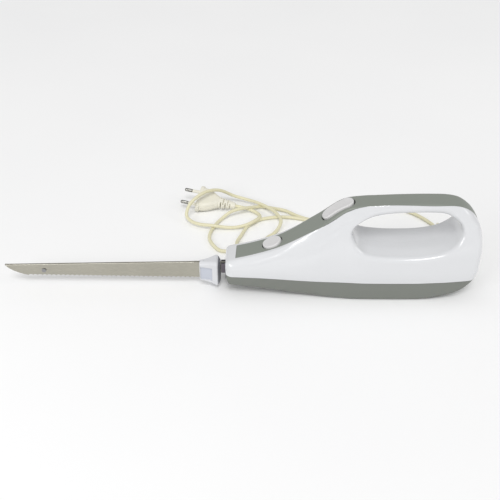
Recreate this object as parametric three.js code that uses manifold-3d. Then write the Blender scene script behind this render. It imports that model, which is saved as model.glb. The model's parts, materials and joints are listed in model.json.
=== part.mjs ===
// Mains electric knife with twin reciprocating blades, loop handle, cord and plug.
// Millimetres, +Z up, blades toward -X, width along Y. The table is Z = 0.
import * as THREE from 'three';
import { mergeVertices } from 'three/addons/utils/BufferGeometryUtils.js';
import { ParametricGeometry } from 'three/addons/geometries/ParametricGeometry.js';
import Module from 'manifold-3d';

const wasm = await Module();
wasm.setup();
const { Manifold, Mesh } = wasm;

// ---- Sizes -------------------------------------------------------------------

const GAP = 0.3;
const WALL = 2.2;
const STRIP_THICK = 1.8;

// Profiles along X: [x, value] pairs.
const TOP = [
  [-15.5, 38.6], [-4.6, 41], [14.7, 45.8], [41, 55], [59.7, 65.6], [74, 75.4],
  [81.4, 80.9], [95.5, 92.3], [102.5, 96.2], [110, 97.8], [120, 98.8], [142, 99.9],
  [164, 100.6], [186, 100.9], [197, 100.6], [206, 99.2], [213, 97.4], [219, 94.4],
  [224, 91], [228, 86.8], [231, 82], [233.5, 75.5], [235.2, 69], [236.8, 59], [238, 48], [239, 37],
];
const BOTTOM = [
  [-15.5, 12.6], [-9, 11.6], [25, 7.8], [62, 3.2], [90, 0.8], [108, 0], [178, 0],
  [193, 2.2], [210, 6.8], [225, 11.8], [231, 15.6], [234, 18.6], [237, 23.5], [239, 31],
];
const WIDTH = [
  [-15.5, 19.8], [-5, 20.4], [25, 22], [62, 25], [92, 26.8], [115, 27.6], [190, 27.8],
  [212, 27.4], [221, 25.8], [228, 22.8], [232, 19.6], [235, 15.4], [237, 11], [238.4, 6.4], [239, 3.4],
];
const SHOULDER_WIDTH = [
  [-15.5, 19.2], [15, 19.8], [40, 19.2], [60, 17.8], [74, 16.8], [88, 15.2], [100, 13.6],
  [115, 12.8], [195, 12.8], [212, 12.6], [224, 12], [232, 11], [236, 8.6], [239, 3],
];
const SHOULDER_Z = [
  [-15.5, 34.4], [-4.6, 36.2], [14.7, 39.2], [41, 50], [59.7, 60], [74, 70],
  [88, 82], [100, 91.4], [110, 93.4], [142, 95.2], [195, 95.8], [206, 94.2],
  [219, 88.6], [228, 80], [233.5, 68], [236.8, 52], [239, 33.6],
];
const STRIP_WIDTH = [
  [-15.5, 11], [16, 10.8], [42, 10.8], [60, 11.8], [75, 13.2], [82, 13.6], [95, 13],
  [103, 12], [115, 10.8], [206, 10.7], [224, 9.8], [233, 9.4], [236, 7.4], [239, 2.2],
];
const STATIONS = [
  -9, 4, 14.7, 27, 41, 59.7, 74, 81.4, 95.5, 102.5, 110, 125, 150, 180, 197, 206, 213, 219,
  224, 228, 231, 233.5, 235.2, 236.8, 238.2,
];
const INNER_STATIONS = [-12.8, 4, 27, 41, 59.7, 74, 88, 97, 104, 115, 150, 190, 206, 216, 224, 229, 233];
const NOSE_STATIONS = [[-15.5, 5], [-14.8, 2.9], [-13.2, 1.1]];
const WAIST_Z = 46;

// Line where the white shells meet the grey tray: [x, z].
const PARTING = [
  [-30, 23.6], [20, 22.8], [70, 21.5], [120, 20.7], [175, 20.7], [200, 21.6], [220, 23], [250, 24.2],
];

// Grip hole outline: [x, z].
const HOLE = [
  [107.4, 73.6], [109.6, 67.2], [115, 60.6], [124, 55.4], [142, 52.8], [165, 52.4], [185, 54.2],
  [198.5, 58], [207, 63.6], [212.6, 70.4], [214.2, 77], [211.4, 83], [205, 87.2], [194, 89.8],
  [172, 90.6], [148, 89.9], [131, 87.9], [118.5, 84.7], [110.4, 79.9],
];

// Buttons: centre on the strip, slope of the strip, pill length and width.
const RELEASE = { x: 31, z: 51.1, slope: 18, length: 19.5, width: 16.5, rise: 1.4, depth: 4 };
const SWITCH = { x: 93.4, z: 89.2, slope: 33, length: 34, width: 16, rise: 1, depth: 4 };
const BUTTON_GAP = 0.5;

// Blades, guards and sliders.
const BLADE_THICK = 1;
const BLADE_Y = 0.15;
const BLADE_TIP_X = -239;
const BLADE_HEEL_X = -47.5;
const SCALLOPS = 36;
const SCALLOP_DEPTH = 1.2;
const SCALLOP_START = -217;
const RIVET_X = -200;
const RIVET_Z = 18.6;
const STROKE = 4;
const GUARD_RINGS = [
  // x, half width, low z, high z
  [-42, 3.6, 8.4, 30.4], [-40.6, 4.6, 7.2, 31.2], [-34, 5.2, 6.6, 31.6],
  [-27, 6.8, 5.8, 32], [-22.4, 9, 5, 32.4], [-20.3, 9.2, 5.2, 32],
];

// Drive train.
const SHAFT_Z = 27;
const WHEEL_X = 70;
const WHEEL_Z = 43.4;
const WHEEL_R = 11;
const WHEEL_TEETH = 28;
const WORM_R = 5;
const DISC_R = 6;
const SLIDER_Y = 6.6;
const SLIDER_THICK = 3;

// Cord and plug.
const CORD_R = 1.9;
const EXIT_X = 212.5;
const EXIT_Z = 31;
const CORD_ROUTE = [
  [212.5, 14, 31], [212.5, 36, 31], [212.5, 56, 31], [214, 70, 27.4], [217.5, 84, 17],
  [220.5, 97, 5.3], [219, 109, 2.3], [211, 122, 2.3], [200, 134, 2.3], [186, 144, 2.3],
  [167, 149.5, 2.3], [143, 136, 2.3], [112, 110, 2.3], [72, 86, 2.3], [32, 72, 6.2], [0, 60, 6.2],
  [-14, 56, 2.4], [-23, 57, 2.3], [-31, 67, 2.3], [-36, 81, 2.3], [-35, 94, 2.3], [-30, 109, 2.3],
  [-23, 121, 3], [-12, 128, 8.1], [1, 133, 9.1], [14, 142, 5.3], [24, 148, 2.3], [38, 144, 2.3],
  [51, 139, 2.3], [64, 128, 2.3], [80, 119, 2.3], [104, 111, 6.2], [124, 107, 2.3], [137, 96, 2.3],
  [139, 82, 2.3], [128, 72, 3.8], [113, 78, 6.5], [100, 96, 6.2], [89, 110, 3], [72, 120, 2.3],
  [58, 124, 2.3], [44, 125, 2.3], [31, 123, 2.3], [17, 117, 2.3], [7, 106, 2.3], [0, 88, 2.3],
  [-5, 73, 2.3], [-3, 60, 5.6], [7, 52, 6.2], [18, 56, 6.4], [25, 70, 4.6], [29, 82, 2.6],
  [36, 90, 2.4], [42, 100, 3.8], [45, 111, 6.1], [41, 125, 6.4], [32, 138, 6.4], [18, 151, 6.1],
  [4, 159, 6.1], [-10, 162, 9.1], [-26, 156, 20], [-40, 145, 25.4], [-52, 135, 23.6],
  [-61, 127, 17], [-64, 120, 7.6], [-59, 113, 4.9], [-48, 105, 5.3], [-34, 101, 6.2],
  [-19, 101, 3.8], [-7, 102, 3], [5, 104, 5], [15, 111, 6.2], [21, 124, 3.8], [17, 134, 2.7],
  [7, 139.4, 4.6], [-1.4, 141.2, 5.9], [-7.2, 142.5, 6.6], [-18.9, 145, 7.8],
];
const PLUG = { face: [-52, 152, 11.4], yaw: 12, pitch: 6, tilt: 20 };
const PIN_PITCH = 18.6;
const PIN_LENGTH = 19;
const PIN_R = 2;

// Screws: [x, z] through the shells, [x, y] through the tray.
const SHELL_SCREWS = [[2, 34], [47, 47], [98, 55], [188, 45.4], [222, 60]];
const TRAY_SCREWS = [[46, -18], [46, 18], [188, -21], [188, 21]];

// ---- Helpers -----------------------------------------------------------------

const rad = THREE.MathUtils.degToRad;

function at(table, x) {
  const last = table.length - 1;
  if (x <= table[0][0]) {
    return table[0][1];
  }
  if (x >= table[last][0]) {
    return table[last][1];
  }
  const i = table.findIndex(([px]) => px > x) - 1;
  const slope = (a, b) => (table[b][1] - table[a][1]) / (table[b][0] - table[a][0]);
  const m0 = slope(Math.max(i - 1, 0), i + 1);
  const m1 = slope(i, Math.min(i + 2, last));
  const [x0, y0] = table[i];
  const [x1, y1] = table[i + 1];
  if (y0 === y1) {
    return y0;
  }
  const h = x1 - x0;
  const t = (x - x0) / h;
  const a = (1 + 2 * t) * (1 - t) ** 2 * y0 + t * (1 - t) ** 2 * h * m0;
  return a + t * t * (3 - 2 * t) * y1 + t * t * (t - 1) * h * m1;
}

// A three.js geometry as a closed manifold solid.
function solid(geometry, matrix) {
  const plain = geometry.clone();
  if (matrix) {
    plain.applyMatrix4(matrix);
  }
  plain.deleteAttribute('normal');
  plain.deleteAttribute('uv');
  const welded = mergeVertices(plain, 1e-4);
  const index = welded.index.array;
  const tris = [];
  for (let i = 0; i < index.length; i += 3) {
    const [a, b, c] = [index[i], index[i + 1], index[i + 2]];
    if (a !== b && b !== c && a !== c) {
      tris.push(a, b, c);
    }
  }
  const build = (list) => Manifold.ofMesh(new Mesh({
    numProp: 3,
    vertProperties: Float32Array.from(welded.attributes.position.array),
    triVerts: Uint32Array.from(list),
  }));
  const made = build(tris);
  if (made.volume() > 0) {
    return made;
  }
  const flipped = [];
  for (let i = 0; i < tris.length; i += 3) {
    flipped.push(tris[i], tris[i + 2], tris[i + 1]);
  }
  return build(flipped);
}

function move(x, y, z) {
  return new THREE.Matrix4().makeTranslation(x, y, z);
}

function box(x0, x1, y0, y1, z0, z1) {
  const shape = new THREE.BoxGeometry(x1 - x0, y1 - y0, z1 - z0);
  return solid(shape, move((x0 + x1) / 2, (y0 + y1) / 2, (z0 + z1) / 2));
}

// Cylinders along each axis, from one end to the other.
function cylX(x0, x1, y, z, r, seg = 24) {
  const turn = new THREE.Matrix4().makeRotationZ(Math.PI / 2);
  const shape = new THREE.CylinderGeometry(r, r, x1 - x0, seg);
  return solid(shape, move((x0 + x1) / 2, y, z).multiply(turn));
}

function cylY(x, y0, y1, z, r, seg = 20, rEnd = r) {
  return solid(new THREE.CylinderGeometry(rEnd, r, y1 - y0, seg), move(x, (y0 + y1) / 2, z));
}

function cylZ(x, y, z0, z1, r, seg = 20, rTop = r) {
  const turn = new THREE.Matrix4().makeRotationX(Math.PI / 2);
  const shape = new THREE.CylinderGeometry(rTop, r, z1 - z0, seg);
  return solid(shape, move(x, y, (z0 + z1) / 2).multiply(turn));
}

// Outline in X and Z, pushed along Y.
function plateY(points, y0, y1, smooth = false) {
  const shape = smooth
    ? new THREE.Shape(new THREE.CatmullRomCurve3(points.map(([x, z]) => new THREE.Vector3(x, z, 0)), true)
      .getPoints(points.length * 2).slice(0, -1).map((p) => new THREE.Vector2(p.x, p.y)))
    : new THREE.Shape(points.map(([x, z]) => new THREE.Vector2(x, z)));
  const turn = new THREE.Matrix4().makeRotationX(Math.PI / 2);
  const raised = new THREE.ExtrudeGeometry(shape, { depth: y1 - y0, bevelEnabled: false });
  return solid(raised, move(0, y1, 0).multiply(turn));
}

// Closed skin through rings of points, capped at both ends.
function loft(rings) {
  const count = rings[0].length;
  const centre = (ring) => {
    const sum = ring.reduce((total, p) => total.add(p), new THREE.Vector3());
    return ring.map(() => sum.clone().divideScalar(count));
  };
  // The centre point is worked out once per end so that the cap closes.
  const first = centre(rings[0]);
  const last = centre(rings[rings.length - 1]);
  const rows = [first.map(() => first[0]), ...rings, last.map(() => last[0])];
  const point = (u, v, target) => {
    const row = rows[Math.round(v * (rows.length - 1))];
    target.copy(row[Math.round(u * count) % count]);
  };
  return solid(new ParametricGeometry(point, count, rows.length - 1));
}

function union(...parts) {
  return parts.flat().reduce((sum, part) => sum.add(part));
}

// Corner of a polyline rounded into a few points.
function fillet(before, corner, after, radius, steps) {
  const a = before.clone().sub(corner);
  const b = after.clone().sub(corner);
  const angle = Math.acos(THREE.MathUtils.clamp(a.dot(b) / a.length() / b.length(), -1, 1));
  const reach = Math.min(radius / Math.tan(angle / 2), a.length() * 0.48, b.length() * 0.48);
  const start = corner.clone().add(a.setLength(reach));
  const end = corner.clone().add(b.setLength(reach));
  return new THREE.QuadraticBezierCurve(start, corner, end).getPoints(steps);
}

// ---- Housing -----------------------------------------------------------------

function bodyRing(x, inset, drop, extra = 0) {
  const low = at(BOTTOM, x) + inset + extra;
  const high = at(TOP, x) - inset - drop - extra;
  const wide = Math.max(at(WIDTH, x) - inset - extra, 0.8);
  const shoulderWide = Math.min(at(SHOULDER_WIDTH, x) - inset - extra * 0.6, wide - 0.1);
  const shoulder = Math.max(Math.min(at(SHOULDER_Z, x) - inset - extra * 0.6, high - 0.5), low + 2);
  const waist = Math.min(WAIST_Z, low + (shoulder - low) * 0.7);
  const strip = Math.min(at(STRIP_WIDTH, x) - inset * 0.4, shoulderWide - 0.3);
  const corners = [
    [0, low], [wide, low], [wide, waist], [shoulderWide, shoulder], [strip, high - 0.5], [0, high],
  ].map(([y, z]) => new THREE.Vector2(Math.max(y, 0), z));
  const half = [
    corners[0],
    ...fillet(corners[0], corners[1], corners[2], 5, 3),
    ...fillet(corners[1], corners[2], corners[3], 26, 2),
    ...fillet(corners[2], corners[3], corners[4], 5, 2),
    corners[4],
    corners[5],
  ];
  const mirrored = half.slice(1, -1).reverse().map((p) => new THREE.Vector2(-p.x, p.y));
  return [...half, ...mirrored].map((p) => new THREE.Vector3(x, p.x, p.y));
}

const outerRings = [
  ...NOSE_STATIONS.map(([x, inset]) => bodyRing(x, 0, 0, inset)),
  ...STATIONS.map((x) => bodyRing(x, 0, 0)),
  bodyRing(239, 0, 0),
];
const innerRings = INNER_STATIONS.map((x) => bodyRing(x, WALL, STRIP_THICK));
const bodySolid = loft(outerRings);
const cavity = loft(innerRings);

const holeCut = plateY(HOLE, -40, 40, true);
const holeWall = plateY(HOLE, -40, 40, true);
const holeCentre = new THREE.Vector3(161, 0, 70);
const widen = new THREE.Matrix4()
  .makeTranslation(holeCentre.x, 0, holeCentre.z)
  .multiply(new THREE.Matrix4().makeScale(1 + WALL / 54, 1, 1 + WALL / 18))
  .multiply(new THREE.Matrix4().makeTranslation(-holeCentre.x, 0, -holeCentre.z));
const holeLiner = holeWall.transform(widen.elements);

// Grey strip over the top: a thin bent bar that follows the top profile.
function stripRing(x, sunk, side, ends) {
  const step = 0.6;
  const slope = Math.atan2(at(TOP, x + step) - at(TOP, x - step), 2 * step);
  const wide = at(STRIP_WIDTH, x) + side;
  const n = new THREE.Vector2(-Math.sin(slope), Math.cos(slope));
  const top = at(TOP, x);
  const point = (y, depth) => new THREE.Vector3(x - n.x * depth + ends, y, top - n.y * depth);
  const rise = sunk > STRIP_THICK ? 3 : 0;
  return [
    point(-wide, sunk), point(wide, sunk), point(wide, 0.45 - rise), point(wide * 0.5, 0.1 - rise),
    point(0, -rise), point(-wide * 0.5, 0.1 - rise), point(-wide, 0.45 - rise),
  ];
}

const STRIP_STATIONS = [
  -4.6, 5, 14.7, 27, 41, 50, 59.7, 67, 74, 81.4, 88, 95.5, 102.5, 110, 120, 142, 164, 186,
  197, 206, 213, 219, 224, 228, 231, 233.5, 235.2, 236.6,
];
const stripBar = loft(STRIP_STATIONS.map((x) => stripRing(x, STRIP_THICK, 0, 0)));
const stripRecess = loft([-4.9, ...STRIP_STATIONS.slice(1), 236.9]
  .map((x) => stripRing(x, STRIP_THICK + GAP, GAP, 0)));

// Pill block standing on a button's own axis, from depth below to height above.
function buttonFrame(button, vertical) {
  const tilt = new THREE.Matrix4().makeRotationY(-rad(vertical ? 0 : button.slope));
  return move(button.x, 0, button.z).multiply(tilt);
}

function pill(length, width, low, high, frame, bevel = 0) {
  const r = width / 2 - bevel;
  const straight = length / 2 - width / 2;
  const shape = new THREE.Shape();
  shape.absarc(straight, 0, r, -Math.PI / 2, Math.PI / 2, false);
  shape.absarc(-straight, 0, r, Math.PI / 2, (3 * Math.PI) / 2, false);
  const raised = new THREE.ExtrudeGeometry(shape, {
    depth: high - low - bevel,
    curveSegments: 9,
    bevelEnabled: bevel > 0,
    bevelThickness: bevel,
    bevelSize: bevel,
    bevelSegments: 2,
  });
  const floor = new THREE.Matrix4().makeTranslation(0, 0, low);
  return solid(raised, frame.clone().multiply(floor));
}

const releaseFrame = buttonFrame(RELEASE, false);
const switchFrame = buttonFrame(SWITCH, false);
const releaseWell = pill(RELEASE.length + 2 * BUTTON_GAP, RELEASE.width + 2 * BUTTON_GAP, -12, 8, releaseFrame);
const switchWell = pill(SWITCH.length + 2 * BUTTON_GAP, SWITCH.width + 2 * BUTTON_GAP, -9, 8, switchFrame);

const underParting = plateY([...PARTING, [250, -20], [-30, -20]], -60, 60);
const trayZone = underParting.translate([0, 0, -GAP / 2]);
const shellZone = box(-30, 260, -60, 60, -20, 130).subtract(underParting.translate([0, 0, GAP / 2]));
const leftZone = box(-40, 260, -60, -GAP / 2, -20, 130);
const rightZone = box(-40, 260, GAP / 2, 60, -20, 130);
const portOpening = box(-20, -9, -9.3, 9.3, 13.9, 32.6);
const shellHollow = cavity.subtract(holeLiner);

function shellHalf(zone, sign) {
  const bosses = SHELL_SCREWS.map(([x, z]) => cylY(x, -30, 30, z, 3.4, 16));
  const trayPosts = TRAY_SCREWS
    .filter(([, y]) => Math.sign(y) === sign)
    .map(([x, y]) => cylZ(x, y, 24.2, 36, 3.6, 16));
  const ribs = [box(34, 35.6, -30, 30, 38.8, 70), box(232, 233.4, -30, 30, 24, 64)]
    .map((rib) => rib.subtract(box(0, 300, -14, 14, 0, 100)));
  const inside = union(bosses, trayPosts, ribs).intersect(bodySolid);
  let shell = bodySolid.subtract(shellHollow).add(inside.subtract(stripRecess));
  shell = shell.subtract(holeCut).subtract(stripRecess).subtract(portOpening);
  shell = shell.subtract(releaseWell).subtract(switchWell);
  shell = shell.intersect(shellZone).intersect(zone);
  SHELL_SCREWS.forEach(([x, z]) => {
    shell = shell.subtract(cylY(x, -9, 40, z, 1.6, 12)).subtract(cylY(x, 11, 40, z, 3.3, 16));
  });
  TRAY_SCREWS.forEach(([x, y]) => {
    shell = shell.subtract(cylZ(x, y, 20, 33, 1.6, 12));
  });
  shell = shell.subtract(cylY(WHEEL_X, -18.6, 18.6, WHEEL_Z, 2.5, 16));
  if (sign > 0) {
    shell = shell.subtract(cylY(EXIT_X, 10, 40, EXIT_Z, 4.6, 20));
  }
  return shell;
}

// Largest closed body of a solid, so that no loose crumb stays in a node.
function main(part) {
  const pieces = part.decompose();
  return pieces.reduce((best, piece) => (piece.volume() > best.volume() ? piece : best));
}

const leftHousing = main(shellHalf(leftZone, -1));
const rightHousing = main(shellHalf(rightZone, 1));

function trayShape() {
  const posts = TRAY_SCREWS.map(([x, y]) => cylZ(x, y, 0, 23.9, 4.2, 20));
  const cradles = [box(104, 107, -20, 20, 0, 7.6), box(123, 126, -20, 20, 0, 7.6)];
  const stands = [box(24, 38, -9, 9, 0, 12.6), box(186, 200, -12, 12, 0, 8.4)];
  const ribs = [box(60, 61.6, -23, 23, 0, 12), box(148, 149.6, -25, 25, 0, 8)];
  const clampPost = box(204, 214, 2, 19, 0, 24);
  const inside = union(posts, cradles, stands, ribs, clampPost).intersect(bodySolid);
  let tray = bodySolid.subtract(cavity).add(inside).intersect(trayZone).subtract(portOpening);
  TRAY_SCREWS.forEach(([x, y]) => {
    tray = tray.subtract(cylZ(x, y, -2, 30, 1.8, 12)).subtract(cylZ(x, y, -2, 12, 3.4, 16));
  });
  return main(tray);
}

// ---- Screws ------------------------------------------------------------------

function shellScrew([x, z]) {
  const slot = box(x - 0.4, x + 0.4, 13.6, 20, z - 2, z + 2);
  const shank = cylY(x, -7.4, 12, z, 1.3, 10);
  return union(shank, cylY(x, 11.3, 13.8, z, 2.9, 16)).subtract(slot.translate([0, -0.8, 0]));
}

function trayScrew([x, y]) {
  const slot = box(x - 2, x + 2, y - 0.4, y + 0.4, 0, 10);
  const head = cylZ(x, y, 9.4, 11.7, 3, 16);
  return union(head, cylZ(x, y, 11, 31, 1.3, 10)).subtract(slot);
}

// ---- Trim and buttons --------------------------------------------------------

const topTrim = main(stripBar.subtract(releaseWell).subtract(switchWell));
const lowerRelease = cylZ(RELEASE.x, 0, 39.4, RELEASE.z - 1, 2.4, 12);
const releaseButton = union(
  pill(RELEASE.length, RELEASE.width, -RELEASE.depth, RELEASE.rise, releaseFrame, 0.8),
  lowerRelease,
);
const footFrame = switchFrame.clone().multiply(new THREE.Matrix4().makeTranslation(-12, 0, 0));
const switchButton = union(
  pill(SWITCH.length, SWITCH.width, -SWITCH.depth, SWITCH.rise, switchFrame, 0.8),
  solid(new THREE.BoxGeometry(5, 4, 4), footFrame.clone().multiply(move(0, 0, -5.4))),
);
const plungerTurn = new THREE.Matrix4().makeRotationX(Math.PI / 2);
const switchPlunger = solid(
  new THREE.CylinderGeometry(1.4, 1.4, 4.6, 14),
  footFrame.clone().multiply(move(0, 0, -10)).multiply(plungerTurn),
);
const microSwitch = union(
  solid(new THREE.BoxGeometry(20, 7, 10), footFrame.clone().multiply(move(0, 0, -15.4))),
  solid(new THREE.BoxGeometry(14, 4, 4), footFrame.clone().multiply(move(0, 0, -21))),
).subtract(solid(
  new THREE.CylinderGeometry(2, 2, 7.4, 16),
  footFrame.clone().multiply(move(0, 0, -13)).multiply(plungerTurn),
));

// ---- Blade port --------------------------------------------------------------

const noseBezel = box(-15.4, -10.2, -9, 9, 14.2, 32.3)
  .subtract(box(-20, 0, -3.9, 3.9, 16.4, 29.2));

// ---- Blades, guards and sliders ----------------------------------------------

function bladeOutline() {
  const points = [[BLADE_TIP_X, 25.1], [-238.2, 23.2], [-235.6, 20.4], [-231.6, 17.6], [-226, 14.8]];
  points.push([-221, 13], [SCALLOP_START, 12]);
  const pitch = (BLADE_HEEL_X - SCALLOP_START) / SCALLOPS;
  for (let i = 0; i < SCALLOPS; i += 1) {
    const x = SCALLOP_START + i * pitch;
    const edge = 12 - (3.2 * (i + 1)) / SCALLOPS;
    points.push([x + pitch * 0.3, edge + SCALLOP_DEPTH * 0.9]);
    points.push([x + pitch * 0.7, edge + SCALLOP_DEPTH * 0.9]);
    points.push([x + pitch, edge]);
  }
  points.push([-46.4, 8.8], [-46.4, 10.2], [-24, 10.2], [-24, 17], [10, 17], [10, 28.2]);
  points.push([-42, 28.7], [-130, 27.2]);
  return points;
}

function blade(sign) {
  const y0 = sign > 0 ? BLADE_Y : -BLADE_Y - BLADE_THICK;
  const plate = plateY(bladeOutline(), y0, y0 + BLADE_THICK);
  if (sign < 0) {
    return plate.subtract(cylY(RIVET_X, -5, 5, RIVET_Z, 1.35, 16));
  }
  const reach = 2 * STROKE + 1.2;
  return plate.subtract(box(RIVET_X - reach, RIVET_X + reach, -5, 5, RIVET_Z - 1.4, RIVET_Z + 1.4));
}

const bladeRivet = union(
  cylY(RIVET_X, -1.6, 1.9, RIVET_Z, 1.05, 14),
  cylY(RIVET_X, 1.45, 2, RIVET_Z, 2.6, 18),
  cylY(RIVET_X, -2, -1.45, RIVET_Z, 2.2, 18),
);

function guardRing([x, wide, low, high]) {
  const mid = (low + high) / 2;
  return [
    [-wide * 0.55, low], [wide * 0.55, low], [wide, low + 3], [wide * 0.86, mid - 2],
    [wide * 0.86, mid + 4], [wide * 0.9, high - 3.4], [wide * 0.5, high], [-wide * 0.5, high],
    [-wide * 0.9, high - 3.4], [-wide * 0.86, mid + 4], [-wide * 0.86, mid - 2], [-wide, low + 3],
  ].map(([y, z]) => new THREE.Vector3(x, y, z));
}

function guard(sign) {
  const slot = box(-60, 0, -BLADE_Y - BLADE_THICK - GAP, BLADE_Y + BLADE_THICK + GAP, 9.9, 29);
  const half = loft(GUARD_RINGS.map(guardRing)).subtract(slot);
  const side = sign > 0 ? box(-60, 0, GAP / 2, 20, 0, 40) : box(-60, 0, -20, -GAP / 2, 0, 40);
  return main(half.intersect(side));
}

function slider(sign) {
  const yoke = new THREE.Shape([
    [-6, 17], [58, 17], [58.7, 20], [81.3, 20], [81.3, 50], [78, 56.4], [63, 56.4], [58.7, 52],
    [58.7, 30], [-6, 30],
  ].map(([x, z]) => new THREE.Vector2(x, z)));
  const turn = new THREE.Matrix4().makeRotationX(Math.PI / 2);
  const profile = new THREE.ExtrudeGeometry(yoke, { depth: SLIDER_THICK, bevelEnabled: false });
  const plate = solid(profile, move(0, SLIDER_Y + SLIDER_THICK, 0).multiply(turn));
  const window = box(WHEEL_X - 6.4, WHEEL_X + 6.4, 0, 20, WHEEL_Z - 10.4, WHEEL_Z + 10.4);
  const inner = BLADE_Y + BLADE_THICK + GAP;
  const foot = union(box(-19.8, -5, inner, 3.4, 17, 28.6), box(-5.8, 12, inner, 6.2, 17, 28.6));
  const bridge = box(-5, 12, 5, 8, 17.4, 29.4);
  const half = union(plate.subtract(window), foot, bridge);
  return sign > 0 ? half : half.mirror([0, 1, 0]);
}

const sliderGuide = box(24.4, 37.6, -12.4, 12.4, 12.9, 33.4)
  .subtract(box(20, 44, 6.2, 10, 16.6, 30.4))
  .subtract(box(20, 44, -10, -6.2, 16.6, 30.4))
  .subtract(cylZ(RELEASE.x, 0, 20, 40, 3.7, 20));

// ---- Release yoke and spring -------------------------------------------------

const releaseYoke = union(
  box(13, 35, -5.6, 5.6, 37, 39),
  box(13, 15, -5.6, 5.6, 33.4, 38),
  cylZ(RELEASE.x, 0, 34, 38, 1.4, 12),
);

function coilSpring(x, y, z0, z1, radius, wire, turns) {
  const points = [];
  const steps = turns * 10;
  for (let i = 0; i <= steps; i += 1) {
    const a = (i / 10) * 2 * Math.PI;
    const z = z0 + wire + ((z1 - z0 - 2 * wire) * i) / steps;
    points.push(new THREE.Vector3(x + radius * Math.cos(a), y + radius * Math.sin(a), z));
  }
  const section = new THREE.Shape();
  section.absarc(0, 0, wire, 0, 2 * Math.PI, false);
  const path = new THREE.CatmullRomCurve3(points);
  return solid(new THREE.ExtrudeGeometry(section, {
    steps: steps * 1, extrudePath: path, bevelEnabled: false, curveSegments: 3,
  }));
}

const releaseSpring = coilSpring(RELEASE.x, 0, 20.3, 36.7, 2.6, 0.45, 5);

// ---- Wheel and motor ---------------------------------------------------------

function gearOutline(teeth, outer, root) {
  const points = [];
  for (let i = 0; i < teeth; i += 1) {
    const a = ((i + 0.5) / teeth) * 2 * Math.PI;
    const step = (2 * Math.PI) / teeth;
    const put = (r, k) => points.push([
      WHEEL_X + r * Math.cos(a + step * k), WHEEL_Z + r * Math.sin(a + step * k),
    ]);
    put(root, -0.36);
    put(outer, -0.18);
    put(outer, 0.18);
    put(root, 0.36);
  }
  return points;
}

const wormWheel = union(
  plateY(gearOutline(WHEEL_TEETH, WHEEL_R, WHEEL_R - 1.3), -4, 4),
  cylY(WHEEL_X, -6.2, -3.5, WHEEL_Z + STROKE, DISC_R, 28),
  cylY(WHEEL_X, 3.5, 6.2, WHEEL_Z - STROKE, DISC_R, 28),
).subtract(cylY(WHEEL_X, -9, 9, WHEEL_Z, 2.1, 20));
const wheelAxle = cylY(WHEEL_X, -18, 18, WHEEL_Z, 1.8, 20);

const wormBlank = cylX(57, 83, 0, SHAFT_Z, WORM_R - 1.2, 20);
function wormThread() {
  const points = [];
  for (let i = 0; i <= 64; i += 1) {
    const a = (i / 8) * Math.PI * 2 * (7 / 8);
    points.push(new THREE.Vector3(
      59.4 + (21.2 * i) / 64,
      (WORM_R - 1.25) * Math.cos(a),
      SHAFT_Z + (WORM_R - 1.25) * Math.sin(a),
    ));
  }
  const section = new THREE.Shape();
  section.absarc(0, 0, 1, 0, 2 * Math.PI, false);
  return solid(new THREE.ExtrudeGeometry(section, {
    steps: 60, extrudePath: new THREE.CatmullRomCurve3(points), bevelEnabled: false, curveSegments: 2,
  }));
}
const worm = union(wormBlank, wormThread()).subtract(cylX(50, 90, 0, SHAFT_Z, 2.1, 20));
const motorShaft = cylX(54, 174, 0, SHAFT_Z, 1.8, 20);

function star(slots, outer, slotDepth) {
  const points = [];
  const step = (2 * Math.PI) / slots;
  for (let i = 0; i < slots; i += 1) {
    const a = i * step;
    const put = (r, k) => points.push(new THREE.Vector2(r * Math.cos(a + k * step), r * Math.sin(a + k * step)));
    put(outer - slotDepth, -0.5);
    put(outer, -0.38);
    put(outer, 0);
    put(outer, 0.38);
  }
  return new THREE.Shape(points);
}

function turnedX(shape, x0, x1) {
  const turn = new THREE.Matrix4().makeRotationY(Math.PI / 2);
  const raised = new THREE.ExtrudeGeometry(shape, { depth: x1 - x0, bevelEnabled: false });
  return solid(raised, move(x0, 0, SHAFT_Z).multiply(turn));
}

const shaftBore = cylX(50, 180, 0, SHAFT_Z, 2.1, 20);
const armatureCore = turnedX(star(12, 9.9, 3), 104, 126).subtract(shaftBore);

function ringX(x0, x1, inner, outer, seg = 24) {
  return cylX(x0, x1, 0, SHAFT_Z, outer, seg).subtract(cylX(x0 - 1, x1 + 1, 0, SHAFT_Z, inner, 20));
}

const windingFront = ringX(98.6, 103.7, 3.4, 8.4);
const windingRear = ringX(126.3, 131.4, 3.4, 8.4);
const commutator = turnedX(star(16, 6, 0.6), 133, 145).subtract(shaftBore);

function fanShape() {
  const hub = ringX(151, 159, 2.1, 5, 20);
  const disc = ringX(151, 152.4, 4, 16, 32);
  const vanes = [];
  for (let i = 0; i < 9; i += 1) {
    const turn = new THREE.Matrix4().makeRotationX((i / 9) * 2 * Math.PI);
    const vane = new THREE.BoxGeometry(6.6, 1.1, 11.2);
    vanes.push(solid(vane, move(155.4, 0, SHAFT_Z).multiply(turn).multiply(move(0, 0, 10.2))));
  }
  return union(hub, disc, vanes);
}

function statorShape() {
  const frame = box(102, 128, -21, 21, 8, 46).subtract(box(100, 130, -17.4, 17.4, 11.6, 42.4));
  const necks = box(102, 128, -18, 18, SHAFT_Z - 6, SHAFT_Z + 6);
  const shoes = cylX(102, 128, 0, SHAFT_Z, 13, 32).intersect(box(102, 128, -11.2, 11.2, SHAFT_Z - 9, SHAFT_Z + 9));
  return frame.add(necks).add(shoes).subtract(cylX(100, 130, 0, SHAFT_Z, 10.6, 32));
}

function coil(sign) {
  const outer = box(97.6, 132.4, 11.6, 17, SHAFT_Z - 11.4, SHAFT_Z + 11.4);
  const hollow = box(101.6, 128.4, 0, 30, SHAFT_Z - 6.4, SHAFT_Z + 6.4);
  const ring = outer.subtract(hollow);
  return sign > 0 ? ring : ring.mirror([0, 1, 0]);
}

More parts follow.
